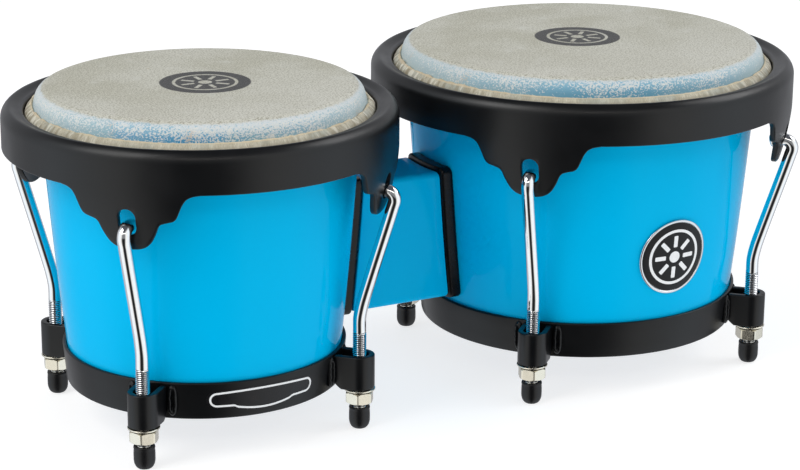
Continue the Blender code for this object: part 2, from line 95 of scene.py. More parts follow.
def spline(points, x):
    """A smooth curve through points of (x, y), with no overshoot."""
    if x <= points[0][0]:
        return points[0][1]
    if x >= points[-1][0]:
        return points[-1][1]
    slopes = [(b[1] - a[1]) / (b[0] - a[0]) for a, b in zip(points, points[1:])]
    for i in range(len(slopes)):
        if x <= points[i + 1][0]:
            break

    def tangent(k):
        if k == 0:
            return slopes[0]
        if k == len(points) - 1:
            return slopes[-1]
        a, b = slopes[k - 1], slopes[k]
        return 0.0 if a * b <= 0 else 2 * a * b / (a + b)

    h = points[i + 1][0] - points[i][0]
    t = (x - points[i][0]) / h
    m0, m1 = tangent(i) * h, tangent(i + 1) * h
    return (
        (2 * t**3 - 3 * t**2 + 1) * points[i][1] + (t**3 - 2 * t**2 + t) * m0
        + (-2 * t**3 + 3 * t**2) * points[i + 1][1] + (t**3 - t**2) * m1
    )


def shell_radius(z):
    return spline(SHELL_LINE, z)


def wobble(a, turns, seed, octaves=2):
    """Noise that closes on itself round a drum: about that many waves a turn, between -1 and 1."""
    k = turns / (2 * pi)
    return noise.fractal(Vector((k * cos(a) * 2, k * sin(a) * 2, seed)), 0.9, 2.0, octaves)


# ---------------------------------------------------------------- mesh helpers
def put(name, verts, faces, mats, body, replaces=(), smooth_deg=40.0, matrix=None, face_mats=None):
    """A piece made from millimetre points, riding on its body and standing for its CAD nodes."""
    mesh = bpy.data.meshes.new(name)
    mesh.from_pydata([(x * MM, y * MM, z * MM) for x, y, z in verts], [], faces)
    if matrix is not None:
        mesh.transform(matrix)
    for mat in mats if isinstance(mats, (list, tuple)) else [mats]:
        mesh.materials.append(mat)
    if face_mats:
        mesh.polygons.foreach_set("material_index", face_mats)
    bm = bmesh.new()
    bm.from_mesh(mesh)
    bmesh.ops.remove_doubles(bm, verts=bm.verts, dist=1e-7)
    bmesh.ops.recalc_face_normals(bm, faces=bm.faces)
    bm.to_mesh(mesh)
    bm.free()
    mesh.shade_smooth()
    mesh.set_sharp_from_angle(angle=radians(smooth_deg))
    obj = bpy.data.objects.new(name, mesh)
    bpy.context.scene.collection.objects.link(obj)
    if body:
        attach(obj, body)
    if replaces:
        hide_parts(*replaces)
    return obj


def loft(rings, closed=True, caps=True):
    """Quads between rings of points. closed joins the last ring to the first; otherwise caps close the two ends."""
    n = len(rings[0])
    verts = [p for ring in rings for p in ring]
    faces = []
    count = len(rings)
    for i in range(count if closed else count - 1):
        a, b = i * n, ((i + 1) % count) * n
        for k in range(n):
            j = (k + 1) % n
            faces.append((a + k, b + k, b + j, a + j))
    if not closed and caps:
        faces.append(tuple(range(n)))
        faces.append(tuple(range((count - 1) * n, count * n))[::-1])
    return verts, faces


def turned(profile_of, steps, extra=0.0, x=0.0, y=0.0, start=0.0):
    """A closed profile of (radius, height) for each angle, turned about a vertical axis."""
    rings = []
    for i in range(steps):
        a = start + 2 * pi * i / steps
        profile = profile_of(a) if callable(profile_of) else profile_of
        rings.append([(x + (r + extra) * cos(a), y + (r + extra) * sin(a), z) for r, z in profile])
    return loft(rings)


def turned_solid(profile_of, steps, extra=0.0, x=0.0, y=0.0):
    """As turned, for a profile that starts and ends on the axis: its first and last points have radius 0."""
    profile = profile_of(0.0) if callable(profile_of) else profile_of
    top, bottom = profile[0], profile[-1]
    rows = len(profile) - 2
    verts = [(x, y, top[1]), (x, y, bottom[1])]
    for i in range(steps):
        a = 2 * pi * i / steps
        line = (profile_of(a) if callable(profile_of) else profile)[1:-1]
        verts += [(x + (r + extra) * cos(a), y + (r + extra) * sin(a), z) for r, z in line]
    faces = []
    for i in range(steps):
        a, b = 2 + i * rows, 2 + ((i + 1) % steps) * rows
        faces.append((0, a, b))
        faces.append((1, b + rows - 1, a + rows - 1))
        for k in range(rows - 1):
            faces.append((a + k, a + k + 1, b + k + 1, b + k))
    return verts, faces


def rounded(points, radius, steps=4, closed=True):
    """A polyline with its corners turned into arcs. radius is one number, or one for each point."""
    out = []
    n = len(points)
    radii = radius if isinstance(radius, (list, tuple)) else [radius] * n
    for i, point in enumerate(points):
        if not closed and i in (0, n - 1) or radii[i] <= 0:
            out.append(tuple(point))
            continue
        p = Vector(point)
        a, b = Vector(points[i - 1]), Vector(points[(i + 1) % n])
        u, v = (a - p), (b - p)
        la, lb = u.length, v.length
        u.normalize()
        v.normalize()
        half = acos(max(-1.0, min(1.0, u.dot(v)))) / 2
        if half > pi / 2 - 0.02:
            out.append(tuple(point))
            continue
        cut = min(radii[i] / max(1e-6, tan(half)), 0.48 * la, 0.48 * lb)
        start, end = p + u * cut, p + v * cut
        for k in range(steps + 1):
            t = k / steps
            q = start * (1 - t) ** 2 + p * 2 * t * (1 - t) + end * t**2
            out.append(tuple(q))
    return out


def catmull(points, step):
    """Points about step apart on a smooth curve through points of any dimension."""
    pts = [Vector(p) for p in points]
    out = [pts[0]]
    for i in range(len(pts) - 1):
        p0 = pts[i - 1] if i else pts[0] * 2 - pts[1]
        p1, p2 = pts[i], pts[i + 1]
        p3 = pts[i + 2] if i + 2 < len(pts) else pts[-1] * 2 - pts[-2]
        n = max(1, round((p2 - p1).length / step))
        t0, t1 = 0.0, max(1e-6, (p1 - p0).length ** 0.5)
        t2 = t1 + max(1e-6, (p2 - p1).length ** 0.5)
        t3 = t2 + max(1e-6, (p3 - p2).length ** 0.5)
        for k in range(1, n + 1):
            t = t1 + (t2 - t1) * k / n
            a1 = p0 * ((t1 - t) / (t1 - t0)) + p1 * ((t - t0) / (t1 - t0))
            a2 = p1 * ((t2 - t) / (t2 - t1)) + p2 * ((t - t1) / (t2 - t1))
            a3 = p2 * ((t3 - t) / (t3 - t2)) + p3 * ((t - t2) / (t3 - t2))
            b1 = a1 * ((t2 - t) / (t2 - t0)) + a2 * ((t - t0) / (t2 - t0))
            b2 = a2 * ((t3 - t) / (t3 - t1)) + a3 * ((t - t1) / (t3 - t1))
            out.append(b1 * ((t2 - t) / (t2 - t1)) + b2 * ((t - t1) / (t2 - t1)))
    return out


def at_lug(drum, angle, turn=None):
    """The matrix that places a lug's piece: local +X points out from the drum, the origin on the rod's axis at the floor."""
    x, extra = DRUMS[drum]
    leg = HOOP_R + extra - LUG_INSET
    a = radians(angle)
    place = Matrix.Translation((MM * (x + leg * cos(a)), MM * leg * sin(a), 0))
    return place @ Matrix.Rotation(a if turn is None else radians(turn), 4, "Z")


# ---------------------------------------------------------------- materials
class Nodes:
    """Short hand for building one material's node tree."""

    def __init__(self, name):
        self.material = bpy.data.materials.new(name)
        self.material.use_nodes = True
        self.tree = self.material.node_tree
        self.shader = self.tree.nodes["Principled BSDF"]
        self.coord = self.tree.nodes.new("ShaderNodeTexCoord").outputs["Object"]

    def link(self, a, b):
        self.tree.links.new(a, b)

    def feed(self, socket, value):
        if isinstance(value, bpy.types.NodeSocket):
            self.link(value, socket)
        elif value is not None:
            if isinstance(value, tuple) and len(value) == 3 and socket.type == "RGBA":
                value = (*value, 1.0)
            socket.default_value = value

    def noise(self, scale, detail=3.0, rough=0.5, coord=None, distortion=0.0):
        node = self.tree.nodes.new("ShaderNodeTexNoise")
        node.inputs["Scale"].default_value = scale
        node.inputs["Detail"].default_value = detail
        node.inputs["Roughness"].default_value = rough
        node.inputs["Distortion"].default_value = distortion
        self.link(coord or self.coord, node.inputs["Vector"])
        return node.outputs["Fac"]

    def voronoi(self, scale, coord=None, feature="F1", randomness=1.0):
        node = self.tree.nodes.new("ShaderNodeTexVoronoi")
        node.feature = feature
        node.inputs["Scale"].default_value = scale
        node.inputs["Randomness"].default_value = randomness
        self.link(coord or self.coord, node.inputs["Vector"])
        return node.outputs["Distance"]

    def math(self, operation, a, b=None, c=None, clamp=False):
        node = self.tree.nodes.new("ShaderNodeMath")
        node.operation = operation
        node.use_clamp = clamp
        for socket, value in zip(node.inputs, (a, b, c)):
            self.feed(socket, value)
        return node.outputs[0]

    def vector(self, operation, a, b=None):
        node = self.tree.nodes.new("ShaderNodeVectorMath")
        node.operation = operation
        self.feed(node.inputs[0], a)
        if b is not None:
            self.feed(node.inputs[1], b)
        return node.outputs["Value" if operation in ("LENGTH", "DISTANCE", "DOT_PRODUCT") else "Vector"]

    def split(self, vector):
        node = self.tree.nodes.new("ShaderNodeSeparateXYZ")
        self.feed(node.inputs[0], vector)
        return node.outputs

    def join(self, x, y, z):
        node = self.tree.nodes.new("ShaderNodeCombineXYZ")
        for socket, value in zip(node.inputs, (x, y, z)):
            self.feed(socket, value)
        return node.outputs[0]

    def step(self, value, low, high, to_low=0.0, to_high=1.0):
        """Smoothly from to_low to to_high as value goes from low to high."""
        node = self.tree.nodes.new("ShaderNodeMapRange")
        node.interpolation_type = "SMOOTHSTEP"
        node.inputs["To Min"].default_value = to_low
        node.inputs["To Max"].default_value = to_high
        if low > high:
            low, high = high, low
            node.inputs["To Min"].default_value, node.inputs["To Max"].default_value = to_high, to_low
        self.feed(node.inputs["Value"], value)
        self.feed(node.inputs["From Min"], low)
        self.feed(node.inputs["From Max"], high)
        return node.outputs["Result"]

    def mix(self, factor, a, b):
        node = self.tree.nodes.new("ShaderNodeMix")
        node.data_type = "RGBA"
        self.feed(node.inputs[0], factor)
        self.feed(node.inputs[6], a)
        self.feed(node.inputs[7], b)
        return node.outputs[2]

    def bump(self, height, strength, distance_mm, normal=None):
        node = self.tree.nodes.new("ShaderNodeBump")
        node.inputs["Strength"].default_value = strength
        node.inputs["Distance"].default_value = distance_mm * MM
        self.link(height, node.inputs["Height"])
        if normal is not None:
            self.link(normal, node.inputs["Normal"])
        return node.outputs["Normal"]

    def set(self, **values):
        names = {
            "color": "Base Color", "metallic": "Metallic", "rough": "Roughness", "ior": "IOR", "specular": "Specular IOR Level",
            "coat": "Coat Weight", "coat_rough": "Coat Roughness", "sheen": "Sheen Weight", "sheen_rough": "Sheen Roughness",
            "normal": "Normal", "coat_normal": "Coat Normal", "subsurface": "Subsurface Weight", "emission": "Emission Color",
            "emission_strength": "Emission Strength",
        }
        for key, value in values.items():
            self.feed(self.shader.inputs[names[key]], value)
        return self.material


def srgb(r, g, b):
    return tuple((c / 255 / 12.92) if c / 255 <= 0.04045 else ((c / 255 + 0.055) / 1.055) ** 2.4 for c in (r, g, b))


def blue_gloss():
    n = Nodes("blue_gloss")
    base = n.mix(n.noise(9.0, 2.0), srgb(0, 176, 229), srgb(0, 181, 234))
    peel = n.noise(260.0, 2.0)
    return n.set(color=base, rough=n.step(n.noise(60.0, 4.0), 0.3, 0.7, 0.055, 0.09), normal=n.bump(peel, 0.05, 0.15), specular=0.04)


def blue_inside():
    """The shell's inside: the same moulded colour, unpolished."""
    n = Nodes("blue_moulded_inside")
    grain = n.noise(900.0, 4.0, 0.6)
    return n.set(color=n.mix(grain, srgb(6, 110, 160), srgb(20, 135, 190)), rough=n.step(grain, 0.3, 0.7, 0.5, 0.65), normal=n.bump(grain, 0.35, 0.25))


def powder_black(name="powder_black", base=(10, 11, 13), rough=(0.30, 0.38), specular=0.36):
    """Powder coat: dark, fine pebbled, satin."""
    n = Nodes(name)
    fine = n.noise(1700.0, 3.0, 0.55)
    broad = n.noise(35.0, 3.0)
    color = n.mix(broad, srgb(base[0] - 4, base[1] - 4, base[2] - 4), srgb(base[0] + 4, base[1] + 4, base[2] + 4))
    height = n.math("ADD", n.math("MULTIPLY", fine, 0.6), n.math("MULTIPLY", n.noise(520.0, 2.0), 0.6))
    return n.set(color=color, rough=n.step(broad, 0.3, 0.7, *rough), normal=n.bump(height, 0.20, 0.10), specular=specular)


def chrome():
    n = Nodes("chrome_plate")
    wear = n.noise(420.0, 5.0, 0.65)
    return n.set(color=n.mix(wear, srgb(222, 224, 226), srgb(236, 237, 238)), metallic=1.0, rough=n.step(wear, 0.35, 0.75, 0.045, 0.11))


def nickel():
    n = Nodes("nickel_plate")
    grain = n.noise(1200.0, 4.0, 0.6)
    broad = n.noise(150.0, 2.0)
    return n.set(
        color=n.mix(broad, srgb(213, 208, 192), srgb(232, 227, 212)), metallic=1.0,
        rough=n.step(grain, 0.3, 0.7, 0.20, 0.34), normal=n.bump(grain, 0.12, 0.05),
    )


def plain_steel():
    n = Nodes("zinc_steel")
    grain = n.noise(800.0, 4.0, 0.6)
    return n.set(color=n.mix(n.noise(90.0, 3.0), srgb(150, 152, 156), srgb(186, 188, 190)), metallic=1.0, rough=n.step(grain, 0.3, 0.7, 0.28, 0.45), normal=n.bump(grain, 0.2, 0.05))


def rubber(name, base, rough, specular=0.5):
    n = Nodes(name)
    grain = n.noise(1500.0, 3.0, 0.5)
    dust = n.noise(110.0, 4.0, 0.6)
    return n.set(
        color=n.mix(n.step(dust, 0.5, 0.85), base, tuple(c * 1.9 + 0.004 for c in base)),
        rough=n.step(dust, 0.3, 0.8, rough, rough + 0.14), normal=n.bump(grain, 0.12, 0.06), specular=specular,
    )


def enamel(name, color, rough=0.18, coat=0.0, metallic=0.0, variation=0.06, scale=300.0, specular=0.5):
    n = Nodes(name)
    a = tuple(c * (1 - variation) for c in color)
    b = tuple(min(1.0, c * (1 + variation)) for c in color)
    grain = n.noise(scale, 3.0)
    return n.set(color=n.mix(grain, a, b), rough=n.step(grain, 0.3, 0.7, rough * 0.85, rough * 1.2), metallic=metallic, coat=coat, specular=specular)


def skin(drum, print_at, print_r):
    """Skin head: stippled flat top with a printed disc, frosted edge, blue-tinted flecked band, and a cream collar."""
    x, extra = DRUMS[drum]
    n = Nodes(drum + "_skin")
    local = n.vector("SUBTRACT", n.coord, (x * MM, 0.0, 0.0))
    px, py, pz = n.split(local)
    radius = n.math("SUBTRACT", n.vector("LENGTH", n.join(px, py, 0.0)), extra * MM)  # as on the small drum
    mm_r = n.math("MULTIPLY", radius, 1000.0)
    mm_z = n.math("MULTIPLY", pz, 1000.0)
    angle = n.math("ARCTAN2", py, px)

    grain = n.noise(2300.0, 3.0, 0.6)
    speck = n.noise(1150.0, 2.0, 0.5)
    cloud = n.noise(22.0, 4.0, 0.55)
    patch = n.noise(70.0, 4.0, 0.6)

    # flat top
    flat = n.mix(n.step(cloud, 0.38, 0.62), srgb(174, 172, 154), srgb(194, 193, 180))
    # painted light: the flat top is made lighter towards the front
    flat = n.mix(n.step(py, 0.01, -0.075, 0.0, 0.55), flat, srgb(212, 211, 202))
    flat = n.mix(n.math("MULTIPLY", n.step(grain, 0.46, 0.60), 0.9), flat, srgb(224, 223, 211))
    flat = n.mix(n.math("MULTIPLY", n.step(speck, 0.52, 0.62), 0.72), flat, srgb(134, 129, 108))
    flat = n.mix(n.math("MULTIPLY", n.step(patch, 0.56, 0.72), 0.5), flat, srgb(208, 208, 199))
    flat = n.mix(n.math("MULTIPLY", n.step(n.noise(140.0, 3.0), 0.72, 0.80), 0.5), flat, srgb(196, 178, 140))

    # printed disc, dark and broken by the skin's grain, with a plain pattern left unprinted in it
    cx, cy = print_at
    dx = n.math("SUBTRACT", n.math("MULTIPLY", px, 1000.0), cx)
    dy = n.math("SUBTRACT", n.math("MULTIPLY", py, 1000.0), cy)
    away = n.math("SQRT", n.math("ADD", n.math("MULTIPLY", dx, dx), n.math("MULTIPLY", dy, dy)))
    ragged = n.math("ADD", away, n.math("MULTIPLY", n.math("SUBTRACT", grain, 0.5), 1.1))
    disc = n.step(ragged, print_r + 0.25, print_r - 0.25)
    around = n.math("ARCTAN2", dy, dx)
    ray = n.math("ABSOLUTE", n.math("SINE", n.math("MULTIPLY", around, 4.0)))  # eight spokes
    spoke = n.math("MULTIPLY", away, ray)
    spokes = n.math("MULTIPLY", n.step(spoke, 4.6, 3.6), n.math("MULTIPLY", n.step(away, 5.6, 6.2), n.step(away, 13.0, 12.4)))
    hoop = n.math("MULTIPLY", n.step(away, 14.6, 15.1), n.step(away, 16.7, 16.2))
    hub = n.step(away, 3.7, 3.2)
    unprinted = n.math("MAXIMUM", n.math("MAXIMUM", spokes, hoop), hub)
    printed = n.math("MULTIPLY", disc, n.math("SUBTRACT", 1.0, n.math("MULTIPLY", unprinted, 0.92)))
    ink = n.mix(n.step(grain, 0.52, 0.68), srgb(24, 24, 28), srgb(128, 128, 126))
    flat = n.mix(n.math("MULTIPLY", printed, 0.98), flat, ink)

    # band: the shell's blue shows through the thin scraped skin, broken by pale flecks
    turned_away = n.math("SINE", n.math("ADD", angle, radians(112)))
    side = n.math("MULTIPLY", turned_away, turned_away)  # 0 at the front, 1 at the two sides
    fleck_coord = n.vector("MULTIPLY", n.coord, (1.0, 1.0, 1.25))
    fleck = n.noise(1050.0, 2.5, 0.6, fleck_coord)
    dense = n.noise(30.0, 3.0, 0.6)
    lower = n.step(mm_z, 170.8, 165.4)
    fewer = 0.0 if drum == "macho" else 0.055
    threshold = n.math("ADD", n.math("ADD", 0.435 + fewer, n.math("MULTIPLY", lower, 0.105)), n.math("MULTIPLY", n.math("SUBTRACT", 0.5, dense), 0.42))
    white = n.math("MULTIPLY", n.step(n.math("SUBTRACT", fleck, threshold), -0.010, 0.030), 0.95)
    blue = n.mix(lower, srgb(126, 178, 204), srgb(70, 150, 194)) if drum == "macho" else n.mix(lower, srgb(124, 176, 200), srgb(104, 164, 192))
    blue = n.mix(n.step(cloud, 0.42, 0.62), blue, srgb(128, 174, 192))
    # painted reflection: the band turns pale grey towards the two sides, standing in for the white sheen there
    blue = n.mix(n.math("MULTIPLY", side, 0.85), blue, srgb(196, 209, 208))
    pale = n.mix(n.step(speck, 0.35, 0.6), srgb(226, 225, 217), srgb(206, 214, 217))
    band = n.mix(white, blue, pale)
    tanned = n.math("MULTIPLY", n.step(n.noise(46.0, 4.0, 0.6), 0.60, 0.72), n.step(fleck, 0.45, 0.6))
    band = n.mix(n.math("MULTIPLY", tanned, 0.65), band, srgb(196, 170, 140))

    # frosted line where the head turns over the shell's edge
    edge_noise = n.math("MULTIPLY", n.math("SUBTRACT", n.noise(330.0, 3.0), 0.5), 2.2)
    edge_r = n.math("ADD", mm_r, edge_noise)
    over = n.step(edge_r, 78.0, 79.7)
    top = n.mix(over, flat, band)
    frost = n.math("MULTIPLY", n.step(edge_r, 77.8, 79.0), n.step(mm_z, 169.9, 171.2))
    top = n.mix(n.math("MULTIPLY", frost, n.step(fleck, 0.38, 0.58, 0.15, 0.70)), top, srgb(208, 216, 220))

    # collar
    fibre_coord = n.join(n.math("MULTIPLY", angle, 85.0), n.math("MULTIPLY", mm_z, 0.10), n.math("MULTIPLY", mm_r, 0.10))
    fibre = n.noise(5.5, 4.0, 0.6, fibre_coord)
    cream = n.mix(n.step(fibre, 0.35, 0.68), srgb(182, 175, 152), srgb(220, 214, 194))
    cream = n.mix(n.math("MULTIPLY", n.step(n.noise(60.0, 3.0), 0.48, 0.66), 0.55), cream, srgb(168, 176, 168))
    cream = n.mix(n.math("MULTIPLY", n.step(n.noise(9.0, 2.0, 0.5, fibre_coord), 0.66, 0.74), 0.8), cream, srgb(236, 231, 214))
    # painted shade: the collar darkens towards its foot, down by the hoop's lip
    cream = n.mix(n.math("MULTIPLY", n.step(mm_z, 163.4, 161.6), 0.35), cream, srgb(140, 134, 116))
    # painted shade in the collar's creases and painted highlight on their ridges, stronger at the two sides
    crease_shade_and_highlight = n.noise(1.0, 2.5, 0.55, n.join(n.math("MULTIPLY", angle, 34.0), n.math("MULTIPLY", mm_z, 0.16), n.math("MULTIPLY", mm_r, 0.05)))
    cream = n.mix(n.math("MULTIPLY", n.step(crease_shade_and_highlight, 0.50, 0.38), n.math("MULTIPLY_ADD", side, 0.55, 0.15)), cream, srgb(140, 126, 98))
    cream = n.mix(n.math("MULTIPLY", n.step(crease_shade_and_highlight, 0.54, 0.62), n.math("MULTIPLY_ADD", side, 0.50, 0.20)), cream, srgb(240, 236, 220))
    rim = n.step(mm_z, 163.6, 164.1)
    cream = n.mix(n.math("MULTIPLY", rim, 0.7), cream, srgb(224, 206, 172))
    collar = n.step(mm_r, 82.75, 82.95)
    color = n.mix(collar, top, cream)

    relief = n.math("ADD", n.math("MULTIPLY", grain, 0.7), n.math("MULTIPLY", speck, 0.5))
    normal = n.bump(relief, 0.32, 0.22)
    normal = n.bump(patch, 0.18, 0.8, normal)
    rough = n.step(grain, 0.3, 0.7, 0.52, 0.72)
    return n.set(color=color, rough=rough, normal=normal, specular=0.35, sheen=0.08, sheen_rough=0.5)


BLUE = blue_gloss()
BLUE_INSIDE = blue_inside()
BLACK = powder_black()
# painted shade: the bottom rings get a slightly darker, less glossy copy of the same powder coat
BLACK_RING_SHADED = powder_black("powder_black_ring_shaded", (9, 10, 12), (0.31, 0.39), 0.30)
BLACK_LUG = powder_black("powder_black_lug", (10, 11, 13), (0.27, 0.35), 0.34)
CHROME = chrome()
# painted shade: a dark metal laid in the thread's roots
THREAD_ROOT_SHADE = enamel("thread_root_shade", srgb(74, 76, 80), 0.4, metallic=1.0)
NICKEL = nickel()
STEEL = plain_steel()
CAP_RUBBER = rubber("cap_rubber", srgb(12, 12, 14), 0.32, 0.34)
GASKET_RUBBER = rubber("gasket_rubber", srgb(8, 8, 10), 0.24, 0.24)
SILVER = enamel("badge_silver", srgb(212, 214, 216), 0.16, metallic=1.0)
BADGE_BLACK = enamel("badge_black", srgb(13, 14, 17), 0.14, specular=0.22)
BADGE_WHITE = enamel("badge_white", srgb(232, 234, 236), 0.28)
LABEL_BLACK = enamel("label_black", srgb(18, 18, 21), 0.30, specular=0.28)
LABEL_WHITE = enamel("label_white", srgb(226, 228, 230), 0.4)
PRINTS = {"macho": ((2.4, -0.3), 22.8), "hembra": ((-0.7, 3.8), 22.9)}
SKINS = {drum: skin(drum, *PRINTS[drum]) for drum in DRUMS}


# ---------------------------------------------------------------- shells
def make_shell(drum):
    x, extra = DRUMS[drum]
    outer = [(shell_radius(z), z) for z in [SHELL_BOTTOM + 0.6] + [26 + 3.5 * i for i in range(40)] if z < 165.0]
    outer = [(shell_radius(SHELL_BOTTOM) - 0.5, SHELL_BOTTOM)] + outer + [(80.6, 165.0)]
    edge = [(80.0, 166.0), (79.5, 167.0), (78.8, 168.1), (77.9, 169.1), (76.8, 169.95), (75.8, 170.35), (75.0, 170.2)]
    inner = [(shell_radius(z) - SHELL_WALL, z) for z in (160.0, 140.0, 123.3, 100.0, 80.0, 60.0, 42.0, SHELL_BOTTOM + 0.6)]
    profile = outer + edge + inner + [(shell_radius(SHELL_BOTTOM) - SHELL_WALL + 0.5, SHELL_BOTTOM)]
    steps = 256
    verts, faces = turned(profile, steps, extra, x)
    n = len(profile)
    first_inside = len(outer) + len(edge) - 1
    index = [1 if (k % n) >= first_inside and (k % n) < n - 1 else 0 for k in range(len(faces))]
    put(drum + "_shell_fine", verts, faces, [BLUE, BLUE_INSIDE], ROOT, [drum + "_shell"], 40.0, face_mats=index)


# ---------------------------------------------------------------- heads
def make_head(drum):
    """Skin over the shell's edge, and the skin's own cut end standing up outside it as a creased collar."""
    x, extra = DRUMS[drum]
    seed = 3.7 if drum == "macho" else 11.3
    wrap = 2.3 + GAP + 0.3
    size = (82.5 + extra) / 82.5

    def profile_of(a):
        # calm at the front and back, ragged and creased at the two sides
        side = 0.35 + 1.75 * sin(a - radians(-112)) ** 2
        ragged = (0.42 * wobble(a, 70 * size, seed, 3) + 0.34 * wobble(a, 16, seed + 5)) * side
        crease = abs(wobble(a, 55 * size, seed + 9, 2))
        fold = (0.66 * (crease - 0.25) + 0.22 * wobble(a, 14, seed + 17)) * (0.5 + 0.5 * side)
        # the collar leans away from the band in a few places
        lean = max(0.0, wobble(a, 7, seed + 30) - 0.12) * 1.7
        band = 0.10 * wobble(a, 24, seed + 21)
        top = 164.25 + ragged + 0.45 * lean
        outer = [
            (0.0, HEAD_TOP), (30.0, HEAD_TOP), (60.0, HEAD_TOP), (73.6, HEAD_TOP), (75.4, 172.92), (77.0, 172.62), (78.5, 172.05), (79.7, 171.2), (80.7, 170.1),
            (81.5, 168.8), (82.05 + band * 0.5, 167.3), (82.35 + band, 165.9), (82.5 + band, 164.8), (82.6, 163.5 + 0.3 * ragged),
            (83.0 + lean, top - 0.25), (83.25 + lean, top), (83.75 + lean, top - 0.12), (84.0 + lean, top - 0.5),
            (84.8 + lean * 0.8 + fold * 0.6, 163.1 + 0.3 * ragged), (85.8 + lean * 0.5 + fold * 0.7, 162.1), (86.7 + fold * 0.35, 160.9),
            (87.1, 159.7), (87.15, 158.2), (87.15, 156.68),
        ]
        folded = [(FLESH_R + (wrap + 1.0) * cos(radians(t)), FLESH_Z + (wrap + 1.0) * sin(radians(t))) for t in (86, 60, 30, 0, -25, -50, -75)]
        back = [(FLESH_R + wrap * cos(radians(t)), FLESH_Z + wrap * sin(radians(t))) for t in (-75, -50, -25, 0, 30, 60, 86)]
        inner = [(86.05, 155.9), (86.0, 158.3), (85.7, 159.8), (84.6, 161.4), (82.6, 162.9), (81.3, 163.7), (81.0, 166.1), (80.1, 168.3), (78.6, 170.1), (76.2, 171.4), (73.4, HEAD_TOP - HEAD_THICK)]
        low = HEAD_TOP - HEAD_THICK
        line = outer + folded + back + inner
        return [(0.0, line[0][1])] + [(r, z) for r, z in line[1:]] + [(0.0, low)]

    def scaled(a):
        # the inner flat rows keep their share of the radius; everything past them grows by the extra
        line = profile_of(a)
        return [(r * (73.6 + extra) / 73.6 - extra if 0 < r < 73.0 else r, z) for r, z in line]

    verts, faces = turned_solid(scaled, 640, extra, x)
    obj = put(drum + "_skin", verts, faces, SKINS[drum], None, [drum + "_head"], 60.0)
    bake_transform(obj)


# ---------------------------------------------------------------- counterhoops
def ear_lean(z):
    drop = max(0.0, HOOP_BOTTOM - z) / (HOOP_BOTTOM - EAR_TIP)
    return EAR_LEAN * drop**1.6


def hoop_columns(radius):
    columns = []
    step = 0.75
    reach = EAR_LINE[-1][0]
    count = int(reach / step)
    mirrored = sorted({(s * side, z) for s, z in EAR_LINE for side in (1, -1)})
    for middle in LUGS.values():
        for i in range(-count, count + 1):
            s = reach * i / count
            columns.append((middle + s / radius * 180 / pi, spline(mirrored, s) if abs(s) > 2 else EAR_TIP + 0.02 * s * s))
    ear = reach / radius * 180 / pi
    for axis in (-90, 0, 90, 180):
        span = 45 - ear
        pieces = max(4, int(span * radius * pi / 180 / 1.6))
        for k in range(-pieces + 1, pieces):
            columns.append((axis + k / pieces * span, HOOP_BOTTOM))
    return sorted((a % 360.0, z) for a, z in columns)


def hoop_profile(radius, low):
    """Across the hoop, from the outside of its lower edge, over the rolled top, down the inner lip and back up inside."""
    lean = ear_lean
    e = 0.7  # rounding of the lower edge
    rows = [low + e + (150.0 - low - e) * t for t in (0.0, 0.08, 0.18, 0.3, 0.45, 0.6, 0.75, 0.88, 1.0)]
    outside = [(radius - lean(low) - e * (1 - cos(t)), low + e * (1 - sin(t))) for t in (pi / 2, pi / 3, pi / 6)] + [(radius - lean(z), z) for z in rows]
    roll = [(radius, 153.0), (radius, 156.0)]
    roll += [(radius - 6.5 + 6.5 * cos(radians(t)), 158.1 + 6.5 * sin(radians(t))) for t in (0, 9, 18, 27, 36, 45, 53)]
    roll += [(radius - 3.15, 163.72), (radius - 3.7, 163.98), (radius - 4.3, 164.05), (radius - 5.0, 163.9)]
    # from the ridge the top slopes in through a shallow valley to the small bead of the inner lip
    top = [(radius - 6.0, 163.45), (radius - 7.2, 162.75), (radius - 8.3, 162.3), (radius - 9.2, 162.2), (radius - 10.0, 162.25), (radius - 10.7, 162.05), (radius - 11.2, 161.55), (radius - LIP_IN, 160.9)]
    lip = [(radius - LIP_IN, 159.5), (radius - LIP_IN, LIP_BOTTOM + 0.4), (radius - LIP_IN + 0.4, LIP_BOTTOM), (radius - LIP_IN + 2.4, LIP_BOTTOM), (radius - LIP_IN + 2.8, LIP_BOTTOM + 0.4)]
    inside = [(radius - 7.6, 159.4), (radius - 6.2, 160.6), (radius - 4.8, 160.4), (radius - 3.4, 158.2), (radius - HOOP_SHEET, 155.0)]
    inside += [(radius - HOOP_SHEET - lean(z), z) for z in reversed(rows)]
    inside += [(radius - HOOP_SHEET + e * (1 - cos(t)) - lean(low), low + e * (1 - sin(t))) for t in (pi / 6, pi / 3, pi / 2)]
    return outside + roll + top + lip + inside


def slot_cutter(radius, angle, x):
    """A bar of the slot's outline, pointing along the radius."""
    r, half = SLOT_WIDTH / 2, (SLOT_HIGH - SLOT_LOW - SLOT_WIDTH) / 2
    outline = [(r * cos(pi * i / 16), half + r * sin(pi * i / 16)) for i in range(17)]
    outline += [(-r * cos(pi * i / 16), -half - r * sin(pi * i / 16)) for i in range(17)]
    a = radians(angle)
    middle = (SLOT_LOW + SLOT_HIGH) / 2
    rings = []
    for depth in (-9.0, 9.0):
        ring = []
        for s, v in outline:
            px, py = radius - 4.0 + depth, s
            ring.append((x + px * cos(a) - py * sin(a), px * sin(a) + py * cos(a), middle + v))
        rings.append(ring)
    return loft(rings, closed=False)


